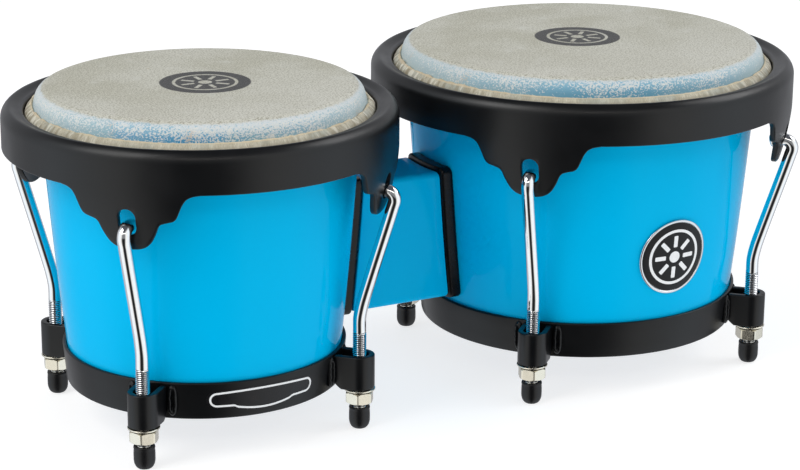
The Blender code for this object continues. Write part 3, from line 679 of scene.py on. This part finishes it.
def make_hoop(drum):
    x, extra = DRUMS[drum]
    radius = HOOP_R + extra
    rings = []
    for angle, low in hoop_columns(radius):
        a = radians(angle)
        rings.append([(x + r * cos(a), r * sin(a), z) for r, z in hoop_profile(radius, low)])
    verts, faces = loft(rings)
    hoop = put(drum + "_hoop_fine", verts, faces, BLACK, drum + "_hoop_and_rods", [drum + "_counterhoop"], 50.0)
    # the four slots
    cutters = bmesh.new()
    for angle in LUGS.values():
        cv, cf = slot_cutter(radius, angle, x)
        made = [cutters.verts.new((p[0] * MM, p[1] * MM, p[2] * MM)) for p in cv]
        for face in cf:
            cutters.faces.new([made[i] for i in face])
    bmesh.ops.recalc_face_normals(cutters, faces=cutters.faces)
    mesh = bpy.data.meshes.new("slots")
    cutters.to_mesh(mesh)
    cutters.free()
    cut = bpy.data.objects.new("slots", mesh)
    bpy.context.scene.collection.objects.link(cut)
    modifier = hoop.modifiers.new("slots", "BOOLEAN")
    modifier.operation = "DIFFERENCE"
    modifier.solver = "EXACT"
    modifier.object = cut
    graph = bpy.context.evaluated_depsgraph_get()
    done = bpy.data.meshes.new_from_object(hoop.evaluated_get(graph))
    hoop.modifiers.clear()
    hoop.data = done
    bpy.data.objects.remove(cut, do_unlink=True)
    round_slots(done, radius, x)
    done.shade_smooth()
    done.set_sharp_from_angle(angle=radians(50))


def round_slots(mesh, radius, x):
    """Takes the sharpness off the slots' rims."""
    bm = bmesh.new()
    bm.from_mesh(mesh)
    bmesh.ops.remove_doubles(bm, verts=bm.verts, dist=2e-6)
    rim = []
    half_w, middle, half_h = SLOT_WIDTH / 2 + 0.3, (SLOT_LOW + SLOT_HIGH) / 2, (SLOT_HIGH - SLOT_LOW) / 2 + 0.3
    for edge in bm.edges:
        if len(edge.link_faces) != 2 or edge.calc_face_angle(0) < radians(55):
            continue
        at = (edge.verts[0].co + edge.verts[1].co) / 2 / MM
        if abs(at.z - middle) > half_h:
            continue
        a = degrees(atan2(at.y, at.x - x))
        if min(abs((a - lug + 180) % 360 - 180) for lug in LUGS.values()) * pi / 180 * radius > half_w:
            continue
        rim.append(edge)
    if rim:
        bmesh.ops.bevel(bm, geom=rim, offset=0.45 * MM, segments=2, profile=0.5, affect="EDGES", clamp_overlap=True)
    bm.to_mesh(mesh)
    bm.free()


# ---------------------------------------------------------------- bottom rings and their straps
def ring_out(z):
    return shell_radius(z) + GAP + RING_SHEET


def make_ring(drum):
    x, extra = DRUMS[drum]
    outline = [
        (shell_radius(RING_TOP) + GAP, RING_TOP), (shell_radius(SHELL_BOTTOM) + GAP, SHELL_BOTTOM - GAP), (shell_radius(SHELL_BOTTOM) - 4.0, SHELL_BOTTOM - GAP),
        (shell_radius(SHELL_BOTTOM) - 4.0, RING_BOTTOM), (ring_out(RING_BOTTOM), RING_BOTTOM), (ring_out(28.0), 28.0), (ring_out(34.0), 34.0), (ring_out(RING_TOP), RING_TOP),
    ]
    profile = rounded(outline, [0.5, 0.3, 0.5, 0.6, 1.1, 0, 0, 0.9], 3)
    verts, faces = turned(profile, 256, extra, x)
    put(drum + "_ring_fine", verts, faces, BLACK_RING_SHADED, ROOT, [drum + "_bottom_ring"], 50.0)


def make_strap(drum, lug, angle):
    """The U-strap with rounded edges, and the weld at each end."""
    x, extra = DRUMS[drum]
    leg = HOOP_R + extra - LUG_INSET
    out = ring_out(RING_TOP) + extra
    mid_r = STRAP_OUT_R - STRAP_SHEET / 2
    half = STRAP_SHEET / 2
    start = sqrt(out**2 - mid_r**2) - leg + GAP
    reach = (0.0, 0.06, 0.12, 0.18, 0.24, 0.32, 0.42, 0.6, 0.8, 0.95)
    path = [(start * (1 - t), -mid_r, (0.0, -1.0)) for t in reach]
    bend = 28
    for i in range(bend + 1):
        t = pi * i / bend
        path.append((mid_r * sin(t), -mid_r * cos(t), (sin(t), -cos(t))))
    path += [(start * (1 - t), mid_r, (0.0, 1.0)) for t in reversed(reach)]
    rings = []
    for px, py, (nx, ny) in path:
        share = min(1.0, max(0.0, (start + STRAP_CORNER[0] - px) / STRAP_CORNER[0]))
        low = STRAP_BOTTOM + STRAP_CORNER[1] * share ** 1.2
        section = rounded([(half, low), (half, STRAP_TOP), (-half, STRAP_TOP), (-half, low)], 0.75, 4)
        rings.append([(px + nx * u, py + ny * u, z) for u, z in section])
    verts, faces = loft(rings, closed=False)
    put(f"{drum}_strap_{lug}", verts, faces, BLACK_LUG, ROOT, [f"{drum}_bracket_{lug}"], 45.0, at_lug(drum, angle))

    # weld: an upright oval beside each end of the strap, its rim raised round a hollow
    for side, name in ((-1, "a"), (1, "b")):
        y = side * (STRAP_OUT_R + 2.75)
        foot_x = sqrt(out**2 - y**2) - leg
        face = side * radians(19)
        ca, sa = cos(face), sin(face)
        z_low, z_high, half_w = 23.9, 39.6, 2.45
        rings = []
        count = 40
        for i in range(count + 1):
            t = i / count
            z = z_low + (z_high - z_low) * t
            oval = max(0.03, 1 - abs(2 * t - 1) ** 3.2) ** 0.5
            hollow = max(0.0, 1 - abs(2 * t - 1.0) ** 6 * 3.6)
            wave = 1 + 0.10 * sin(t * 31.0 + 2.0 * side + angle) + 0.06 * sin(t * 67.0 + angle)
            ring = []
            for k in range(17):
                u = -1 + k / 8
                dome = max(0.0, 1 - u * u) ** 0.5
                v = 1.55 * dome * oval * wave - 1.9 * hollow * exp(-((u - 0.05 * sin(t * 19.0)) / 0.30) ** 2) * oval
                ring.append((u * half_w * oval, v, z))
            ring += [(half_w * oval * 0.8, -1.2, z), (0.0, -1.7, z), (-half_w * oval * 0.8, -1.2, z)]
            # v points out from the ring's face, u runs along it
            rings.append([(foot_x + q * ca - p * sa, y + q * sa + p * ca, zz) for p, q, zz in ring])
        verts, faces = loft(rings, closed=False)
        put(f"{drum}_weld_{lug}_{name}", verts, faces, BLACK_LUG, ROOT, (), 60.0, at_lug(drum, angle))


# ---------------------------------------------------------------- tuning rods, washers, nuts, caps
def rod_line():
    """The same centre line as the CAD rod's: (out, height)."""
    out = LUG_INSET + HOOK_OUT
    slant = (out - 0.4) / (HOOK_Z - 2.0 - ROD_KNEE)
    line = [(0.0, THREAD_TOP + 0.6), (0.0, ROD_KNEE - 4.5)]
    line += [(0.35, ROD_KNEE - 1.5), (1.0, ROD_KNEE + 1.8), (1.9, ROD_KNEE + 5.6)]
    line.append((out - 0.4 - slant * 6.0, HOOK_Z - 8.0))
    line.append((out - 0.2 - slant * 2.5, HOOK_Z - 3.6))
    for a in (0, 30, 60, 90):
        line.append((out - HOOK_BEND + HOOK_BEND * cos(radians(a)), HOOK_Z + HOOK_BEND * sin(radians(a))))
    line.append((out - HOOK_BEND - 3.0, HOOK_Z + HOOK_BEND - 0.3))
    line.append((out - HOOK_BEND - 6.6, HOOK_Z + HOOK_BEND - 1.3))
    return line


def make_rod(drum, lug, angle):
    sides = 24
    rings, roots = [], []
    # threaded leg: the surface follows the thread's own helix
    z = ROD_BOTTOM + 0.05
    fine = [(10.5, 0.125), (16.0, 0.125), (36.5, 1.0), (THREAD_TOP, 0.125)]
    while z < THREAD_TOP - 0.01:
        step = next(s for top, s in fine if z < top)
        ring = []
        fade = min(1.0, (THREAD_TOP - z) / 1.5)
        for k in range(sides):
            a = 2 * pi * k / sides
            phase = (z / THREAD_PITCH - a / (2 * pi)) % 1.0
            depth = 0.60 * abs(2 * phase - 1) if step < 0.5 else 0.28
            depth = max(0.0, depth - 0.03)
            r = THREAD_R - depth * fade - (1 - fade) * 0.16
            ring.append((r * cos(a), r * sin(a), z))
            # faces down in the thread's roots get the painted shade
            middle = ((z + step / 2) / THREAD_PITCH - (a + pi / sides) / (2 * pi)) % 1.0
            roots.append(1 if step < 0.5 and fade > 0.3 and abs(2 * middle - 1) > 0.62 else 0)
        rings.append(ring)
        z += step
    path = catmull(rod_line(), 0.9)
    for i, p in enumerate(path):
        ahead = path[min(i + 1, len(path) - 1)] - path[max(i - 1, 0)]
        ahead.normalize()
        normal = (ahead[1], -ahead[0])
        r = ROD_R
        rings.append([(p[0] + normal[0] * r * cos(2 * pi * k / sides), r * sin(2 * pi * k / sides), p[1] + normal[1] * r * cos(2 * pi * k / sides)) for k in range(sides)])
    # the end is cut square with a small chamfer
    end, ahead = path[-1], (path[-1] - path[-2]).normalized()
    normal = (ahead[1], -ahead[0])
    for off, r in ((0.35, ROD_R - 0.12), (0.6, ROD_R - 0.5)):
        c = end + ahead * off
        rings.append([(c[0] + normal[0] * r * cos(2 * pi * k / sides), r * sin(2 * pi * k / sides), c[1] + normal[1] * r * cos(2 * pi * k / sides)) for k in range(sides)])
    verts, faces = loft(rings, closed=False)
    roots += [0] * (len(faces) - len(roots))
    put(f"{drum}_tuning_rod_{lug}", verts, faces, [CHROME, THREAD_ROOT_SHADE], drum + "_hoop_and_rods", [f"{drum}_rod_{lug}"], 50.0, at_lug(drum, angle), roots)


def make_washer(drum, lug, angle):
    top = STRAP_BOTTOM - GAP
    profile = rounded([
        (WASHER_BORE, WASHER_BOTTOM), (5.6, WASHER_BOTTOM), (6.6, WASHER_BOTTOM + 0.35), (WASHER_R, top - 0.85), (WASHER_R, top - 0.1),
        (7.2, top - 0.05), (6.2, top - 0.55), (WASHER_BORE, top - 0.55),
    ], [0.2, 0.6, 0.6, 0.35, 0.3, 0.2, 0.4, 0.2], 3)
    verts, faces = turned(profile, 64)
    put(f"{drum}_cup_washer_{lug}", verts, faces, NICKEL, ROOT, [f"{drum}_washer_{lug}"], 40.0, at_lug(drum, angle))


def hexagon(a, flats):
    """Distance from the middle to a hexagon's side in direction a."""
    return flats / 2 / cos((a % (pi / 3)) - pi / 6)


def nut_rings(low, high, flats, bore, columns=96):
    """A hex nut: a hexagon whose corners are turned to a cone at top and bottom."""
    corner = flats / sqrt(3)
    rows = [low + t for t in (0.0, 0.12, 0.25, 0.4, 0.55, 0.7, 0.9, 1.15, 1.5)]
    rows += [(low + high) / 2] + [high - t for t in (1.2, 0.9, 0.65, 0.45, 0.3, 0.15, 0.0)]
    rings = []
    for i in range(columns):
        a = 2 * pi * i / columns
        flat = min(hexagon(a, flats), corner - 0.14)
        ring = []
        for z in rows:
            cone = min(flats / 2 - 0.35 + (z - low) * 1.5, flats / 2 + 0.05 + (high - z) * 1.6)
            ring.append((min(flat, cone), z))
        ring += [(bore + 0.55, high), (bore, high - 0.6), (bore, low + 0.6), (bore + 0.55, low)]
        rings.append([(r * cos(a), r * sin(a), z) for r, z in ring])
    return rings


def make_nut(drum, lug, angle):
    verts, faces = loft(nut_rings(NUT_BOTTOM, NUT_TOP, NUT_AF, 3.62))
    name = f"{drum}_{lug}"
    put(f"{drum}_hex_nut_{lug}", verts, faces, NICKEL, f"{drum}_nut_{lug}", [f"{drum}_nut_{lug}"], 28.0, at_lug(drum, angle, NUT_TURN[name]))


def make_cap(drum, lug, angle):
    dome = [(CAP_FLAT_R + (CAP_R - CAP_FLAT_R) * sin(radians(t)), 4.9 - 4.9 * cos(radians(t))) for t in (0, 12, 24, 36, 48, 60, 72, 84)]
    wall = [(CAP_R, 5.4), (CAP_R, 7.5), (CAP_R - 0.08, 9.4), (CAP_R - 0.16, 10.2), (CAP_R - 0.02, 10.55), (CAP_R, 11.0), (CAP_R - 0.1, 11.45), (CAP_R - 0.4, 11.72), (CAP_R - 0.8, CAP_TOP), (4.1, 11.65), (3.85, 11.2)]
    inner = [(3.8, 8.0), (3.8, 4.25), (3.2, 4.1), (0.0, 4.1)]
    verts, faces = turned_solid([(0.0, 0.0)] + dome + wall + inner, 48)
    put(f"{drum}_foot_cap_{lug}", verts, faces, CAP_RUBBER, drum + "_hoop_and_rods", [f"{drum}_cap_{lug}"], 50.0, at_lug(drum, angle))


# ---------------------------------------------------------------- centre block, gaskets, through bolts
def box_outline(half, low, high, edge, inset=0.0, steps=6):
    """A rounded rectangle in (y, z), pulled in by inset."""
    corners = [(-half + inset, low + inset), (half - inset, low + inset), (half - inset, high - inset), (-half + inset, high - inset)]
    radius = max(0.4, edge - inset)
    out = []
    for i, (cy, cz) in enumerate(corners):
        mid_y, mid_z = cy - radius * (1 if cy > 0 else -1), cz - radius * (1 if cz > (low + high) / 2 else -1)
        begin = pi + pi / 2 * i
        for k in range(steps + 1):
            t = begin + pi / 2 * k / steps
            out.append((mid_y + radius * cos(t), mid_z + radius * sin(t)))
    return out


def subdivided(outline, longest):
    """The same outline with its long sides cut up, so that its ends follow a round surface."""
    out = []
    for i, a in enumerate(outline):
        b = outline[(i + 1) % len(outline)]
        n = max(1, int(sqrt((b[0] - a[0]) ** 2 + (b[1] - a[1]) ** 2) / longest + 0.999))
        out += [(a[0] + (b[0] - a[0]) * k / n, a[1] + (b[1] - a[1]) * k / n) for k in range(n)]
    return out


def at_shell(drum, y, z, off):
    """x of the point at (y, z) that stands off from the shell by that much, on the side facing the other drum."""
    x, extra = DRUMS[drum]
    reach = sqrt((shell_radius(z) + extra + off) ** 2 - y * y)
    return x + reach if drum == "macho" else x - reach


def make_block():
    edge = 1.0
    outlines = {inset: subdivided(box_outline(BLOCK_HALF, BLOCK_BOTTOM, BLOCK_TOP, BLOCK_EDGE, inset), 4.0) for inset in (0.0,)}
    base = outlines[0.0]
    mid_y, mid_z = 0.0, (BLOCK_BOTTOM + BLOCK_TOP) / 2

    def ring(drum, off, inset):
        out = []
        for y, z in base:
            d = sqrt((y - mid_y) ** 2 + (z - mid_z) ** 2)
            k = (d - inset) / d
            yy, zz = mid_y + (y - mid_y) * k, mid_z + (z - mid_z) * k
            out.append((at_shell(drum, yy, zz, off), yy, zz))
        return out

    off = GASKET_THICK + GAP
    rings = [ring("macho", off, 14.0), ring("macho", off, 6.0), ring("macho", off, edge), ring("macho", off + 0.3, 0.3), ring("macho", off + edge, 0.0)]
    left, right = ring("macho", off + edge, 0.0), ring("hembra", off + edge, 0.0)
    for t in (0.1, 0.25, 0.5, 0.75, 0.9):
        rings.append([(a[0] + (b[0] - a[0]) * t, a[1], a[2]) for a, b in zip(left, right)])
    rings += [right, ring("hembra", off + 0.3, 0.3), ring("hembra", off, edge), ring("hembra", off, 6.0), ring("hembra", off, 14.0)]
    verts, faces = loft(rings, closed=False)
    put("centre_block_fine", verts, faces, BLUE, ROOT, ["centre_block"], 35.0)


def make_gasket(drum):
    base = subdivided(box_outline(GASKET_HALF, GASKET_BOTTOM, GASKET_TOP, 3.6), 3.0)
    mid_z = (GASKET_BOTTOM + GASKET_TOP) / 2
    rings = []

    def ring(off, inset):
        out = []
        for y, z in base:
            yy = y - inset * (1 if y > 0 else -1) if abs(y) > inset else 0.0
            zz = z - inset * (1 if z > mid_z else -1) if abs(z - mid_z) > inset else mid_z
            out.append((at_shell(drum, yy, zz, off), yy, zz))
        return out

    edge = GASKET_EDGE
    rings += [ring(GAP, 12.0), ring(GAP, 5.0), ring(GAP, 0.55), ring(GAP + 0.2, 0.15), ring(GAP + 0.6, 0.0)]
    rings += [ring(2.2, 0.0), ring(3.3, 0.06), ring(GASKET_THICK - edge, 0.0)]
    rings += [ring(GASKET_THICK - edge + edge * sin(radians(t)), edge * (1 - cos(radians(t)))) for t in (20, 40, 60, 78)]
    rings += [ring(GASKET_THICK, edge + 0.3), ring(GASKET_THICK, 5.0), ring(GASKET_THICK, 12.0)]
    verts, faces = loft(rings, closed=False)
    put(drum + "_gasket_fine", verts, faces, GASKET_RUBBER, ROOT, [drum + "_gasket"], 35.0)


def restyle(node, mat):
    """A CAD node that keeps its own mesh gets a finished material."""
    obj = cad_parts[node]
    for slot in obj.material_slots:
        slot.material = mat
    if not obj.material_slots:
        obj.data.materials.append(mat)


# ---------------------------------------------------------------- badge and label
def on_shell(angle_deg, u, v, off, z0):
    """A point on the large drum's outside: u mm along it and v mm up from (angle, z0), standing off by off."""
    z = z0 + v
    a = radians(angle_deg) + u / (shell_radius(z0) + HEMBRA_EXTRA)
    r = shell_radius(z) + HEMBRA_EXTRA + off
    return (HEMBRA_X + r * cos(a), r * sin(a), z)


def disc_rings(profile, columns=96):
    """Rings of (radius, stand-off) on the large drum's outside, about the badge's middle."""
    return [[on_shell(BADGE_ANGLE, r * cos(2 * pi * i / columns), r * sin(2 * pi * i / columns), off, BADGE_Z) for i in range(columns)] for r, off in profile]


def make_badge():
    # silver body with its raised rim
    rim = [(0.5, 0.35), (19.0, 0.35), (BADGE_R - 0.05, 0.35), (BADGE_R, 0.6), (BADGE_R, 1.1), (BADGE_R - 0.25, 1.42), (BADGE_R - 0.75, 1.5), (BADGE_R - 1.25, 1.42), (BADGE_R - 1.5, 1.15), (BADGE_R - 1.55, 0.95), (12.0, 0.95), (0.5, 0.95)]
    verts, faces = loft(disc_rings(rim), closed=False)
    put("hembra_badge_rim", verts, faces, SILVER, ROOT, ["hembra_badge"], 45.0)
    # black enamel field, slightly domed
    field = [(0.5, 0.97), (10.0, 0.97), (BADGE_R - 1.6, 0.97), (BADGE_R - 1.62, 1.12), (BADGE_R - 2.0, 1.2), (14.0, 1.25), (8.0, 1.28), (0.5, 1.3)]
    verts, faces = loft(disc_rings(field), closed=False)
    put("hembra_badge_field", verts, faces, BADGE_BLACK, ROOT, (), 45.0)
    # plain raised pattern: eight short spokes between a hub and a ring
    strokes = []
    for k in range(8):
        a = radians(45 * k)
        line = [(5.4, -1.15), (11.6, -1.15), (11.6, 1.15), (5.4, 1.15)]
        strokes.append([(p * cos(a) - q * sin(a), p * sin(a) + q * cos(a)) for p, q in rounded(line, 0.45, 3)])
    strokes.append([(3.1 * cos(2 * pi * i / 32), 3.1 * sin(2 * pi * i / 32)) for i in range(32)])
    verts, faces = [], []
    for stroke in strokes:
        low = len(verts)
        n = len(stroke)
        for off in (1.2, 1.42):
            verts += [on_shell(BADGE_ANGLE, u, v, off, BADGE_Z) for u, v in stroke]
        faces += [(low + i, low + (i + 1) % n, low + n + (i + 1) % n, low + n + i) for i in range(n)]
        faces += [tuple(range(low, low + n))[::-1], tuple(range(low + n, low + 2 * n))]
    ring = disc_rings([(13.6, 1.2), (15.1, 1.2), (15.1, 1.42), (13.6, 1.42)])
    rv, rf = loft(ring, closed=True)
    faces += [tuple(i + len(verts) for i in f) for f in rf]
    verts += rv
    put("hembra_badge_pattern", verts, faces, BADGE_WHITE, ROOT, (), 30.0)


def label_outline(shrink=0.0, half=28.0):
    """A long bar with round ends, its top slightly arched and its foot bellied out in the middle: (along, height)."""
    def top(u):
        return 36.6 - 1.4 * (u / half) ** 2 - shrink

    def foot(u):
        k = abs(u) / 15.7
        return 27.9 + shrink - (0.0 if k >= 1 else 2.5 * (0.2 * min(1.0, (1 - k) / 0.09) + 0.8 * (1 - k * k)))

    r = (top(half) - foot(half)) / 2
    end = half - shrink - r
    mid = (top(end) + foot(end)) / 2
    r_end = (top(end) - foot(end)) / 2
    points = [(-end + 2 * end * i / 40, top(-end + 2 * end * i / 40)) for i in range(41)]
    points += [(end + r_end * sin(pi * i / 14), mid + r_end * cos(pi * i / 14)) for i in range(1, 14)]
    points += [(end - 2 * end * i / 60, foot(end - 2 * end * i / 60)) for i in range(61)]
    points += [(-end - r_end * sin(pi * i / 14), mid - r_end * cos(pi * i / 14)) for i in range(1, 14)]
    return points


def on_ring(u, z, off, angle=-89.8):
    a = radians(angle) + u / ring_out(30.0)
    r = ring_out(z) + off
    return (MACHO_X + r * cos(a), r * sin(a), z)


def plate_on_ring(name, outer, inner, off_low, off_high, mat):
    """A thin plate on the small drum's bottom ring, with a hole if inner is given."""
    if inner:
        rings = []
        n = len(outer)
        for line, off in ((outer, off_low), (outer, off_high), (inner, off_high), (inner, off_low)):
            rings.append([on_ring(u, z, off) for u, z in line])
        verts = [p for ring in rings for p in ring]
        faces = []
        for i in range(4):
            a, b = i * n, ((i + 1) % 4) * n
            faces += [(a + k, a + (k + 1) % n, b + (k + 1) % n, b + k) for k in range(n)]
    else:
        # cut into upright slices, so that it follows the ring
        n = 90
        lo_u, hi_u = min(p[0] for p in outer), max(p[0] for p in outer)
        rings = []
        for i in range(n + 1):
            u = lo_u + 0.02 + (hi_u - lo_u - 0.04) * (0.5 - 0.5 * cos(pi * i / n))
            zs = []
            for p, q in zip(outer, outer[1:] + outer[:1]):
                if (p[0] - u) * (q[0] - u) <= 0 and p[0] != q[0]:
                    zs.append(p[1] + (q[1] - p[1]) * (u - p[0]) / (q[0] - p[0]))
            z0, z1 = min(zs), max(zs)
            line = [z0 + (z1 - z0) * t for t in (0.0, 0.25, 0.5, 0.75, 1.0)]
            rings.append([on_ring(u, z, off_high) for z in line] + [on_ring(u, z, off_low) for z in reversed(line)])
        verts, faces = loft(rings, closed=False)
    put(name, verts, faces, mat, ROOT, (), 30.0)


def even_outline(outline, count):
    """The same closed outline as that many points, evenly spread along it."""
    lengths = [0.0]
    loop = list(outline) + [outline[0]]
    for a, b in zip(loop, loop[1:]):
        lengths.append(lengths[-1] + sqrt((b[0] - a[0]) ** 2 + (b[1] - a[1]) ** 2))
    out, k = [], 0
    for i in range(count):
        want = lengths[-1] * i / count
        while lengths[k + 1] < want:
            k += 1
        t = (want - lengths[k]) / max(1e-9, lengths[k + 1] - lengths[k])
        out.append((loop[k][0] + (loop[k + 1][0] - loop[k][0]) * t, loop[k][1] + (loop[k + 1][1] - loop[k][1]) * t))
    return out


def make_label():
    plate_on_ring("macho_label_plate", label_outline(-0.75, 28.75), None, 0.03, 0.16, LABEL_BLACK)
    plate_on_ring("macho_label_line", even_outline(label_outline(), 280), even_outline(label_outline(1.0), 280), 0.1, 0.24, LABEL_WHITE)


# ---------------------------------------------------------------- the whole pair
for drum in DRUMS:
    make_shell(drum)
    make_head(drum)
    make_hoop(drum)
    make_ring(drum)
    make_gasket(drum)
    for lug, angle in LUGS.items():
        make_strap(drum, lug, angle)
        make_rod(drum, lug, angle)
        make_washer(drum, lug, angle)
        make_nut(drum, lug, angle)
        make_cap(drum, lug, angle)
    restyle(drum + "_flesh_ring", STEEL)
make_block()
for place in ("upper", "lower"):
    restyle("through_bolt_" + place, STEEL)
    restyle("through_nut_" + place, STEEL)
make_badge()
make_label()


# ---------------------------------------------------------------- floor, light, camera
def make_floor():
    n = Nodes("pale_floor")
    tone = n.noise(3.0, 2.0)
    mat = n.set(color=n.mix(tone, (0.44, 0.44, 0.44), (0.46, 0.46, 0.46)), rough=0.7, specular=0.1, emission=(1.0, 1.0, 1.0), emission_strength=0.74)
    mesh = bpy.data.meshes.new("floor")
    size = 14.0
    mesh.from_pydata([(-size, -size, 0), (size, -size, 0), (size, size, 0), (-size, size, 0)], [], [(0, 1, 2, 3)])
    mesh.materials.append(mat)
    obj = bpy.data.objects.new("floor", mesh)
    bpy.context.scene.collection.objects.link(obj)
    obj.visible_glossy = False


def area(name, at, look, size, power, color=(1, 1, 1), size_y=None):
    light = bpy.data.lights.new(name, "AREA")
    light.shape = "RECTANGLE" if size_y else "SQUARE"
    light.size = size
    if size_y:
        light.size_y = size_y
    light.energy = power
    light.color = color
    obj = bpy.data.objects.new(name, light)
    obj.location = at
    obj.rotation_euler = (Vector(look) - Vector(at)).to_track_quat("-Z", "Y").to_euler()
    bpy.context.scene.collection.objects.link(obj)
    return obj


OPEN_SIDE = (-0.477, -0.879)  # level direction from the drums to the open side of the room


def make_world():
    world = bpy.data.worlds.new("studio")
    bpy.context.scene.world = world
    world.use_nodes = True
    tree = world.node_tree
    new, link = tree.nodes.new, tree.links.new

    def math(operation, a, b=None):
        node = new("ShaderNodeMath")
        node.operation = operation
        for socket, value in zip(node.inputs, (a, b)):
            if isinstance(value, bpy.types.NodeSocket):
                link(value, socket)
            elif value is not None:
                socket.default_value = value
        return node.outputs[0]

    def ramp(value, low, high):
        node = new("ShaderNodeMapRange")
        node.interpolation_type = "SMOOTHSTEP"
        node.inputs["From Min"].default_value, node.inputs["From Max"].default_value = min(low, high), max(low, high)
        node.inputs["To Min"].default_value, node.inputs["To Max"].default_value = (0.0, 1.0) if low < high else (1.0, 0.0)
        link(value, node.inputs["Value"])
        return node.outputs["Result"]

    def mix(factor, a, b):
        node = new("ShaderNodeMix")
        node.data_type = "RGBA"
        link(factor, node.inputs[0])
        for socket, value in ((node.inputs[6], a), (node.inputs[7], b)):
            if isinstance(value, bpy.types.NodeSocket):
                link(value, socket)
            else:
                socket.default_value = (*value, 1.0)
        return node.outputs[2]

    # two bright, slightly cool sides; dark straight ahead of the drums and overhead, where the studio is open
    split = new("ShaderNodeSeparateXYZ")
    link(new("ShaderNodeTexCoord").outputs["Generated"], split.inputs[0])
    x, y, z = split.outputs
    level = math("SQRT", math("ADD", math("MULTIPLY", x, x), math("ADD", math("MULTIPLY", y, y), 0.0001)))
    ahead = math("DIVIDE", math("ADD", math("MULTIPLY", x, OPEN_SIDE[0]), math("MULTIPLY", y, OPEN_SIDE[1])), level)
    opening = ramp(ahead, 0.75, 0.97)
    cool = mix(ramp(math("ABSOLUTE", ahead), 0.75, 0.2), (1.16, 1.15, 1.12), (1.12, 1.20, 1.27))
    behind = mix(ramp(ahead, 0.10, -0.45), cool, (0.56, 0.57, 0.60))
    front = mix(ramp(z, -0.12, 0.10), (0.02, 0.02, 0.02), (0.265, 0.268, 0.275))
    around = mix(opening, behind, front)
    out = mix(ramp(z, 0.54, 0.82), around, (0.10, 0.105, 0.12))
    link(out, tree.nodes["Background"].inputs["Color"])
    tree.nodes["Background"].inputs["Strength"].default_value = 1.0


def make_camera():
    yaw, pitch, roll = 1.07736, 0.300486, 0.0063733
    forward = Vector((cos(yaw) * cos(pitch), sin(yaw) * cos(pitch), -sin(pitch)))
    right = Vector((sin(yaw), -cos(yaw), 0.0))
    up = right.cross(forward)
    right, up = right * cos(roll) + up * sin(roll), up * cos(roll) - right * sin(roll)
    data = bpy.data.cameras.new("camera")
    data.sensor_width = 36.0
    data.lens = 2536.39 * 36.0 / 800.0
    camera = bpy.data.objects.new("camera", data)
    turn = Matrix((right, up, -forward)).transposed().to_4x4()
    camera.matrix_world = Matrix.Translation(((-492.039 + MACHO_X) * MM, -1.124833, 0.473632)) @ turn
    bpy.context.scene.collection.objects.link(camera)
    bpy.context.scene.camera = camera


make_floor()
make_world()
make_camera()
target = (0.0, 0.0, 0.09)
area("key_left", (-2.0, -0.3, 2.0), target, 1.5, 29.5, (1.0, 0.99, 0.97))
area("fill_right", (2.1, -0.5, 2.0), target, 1.5, 25.5)
area("front_strip", (-1.2, -2.4, 1.9), target, 2.4, 8.0, (1.0, 0.95, 0.88), 0.2)
bpy.context.scene.view_settings.view_transform = "Standard"
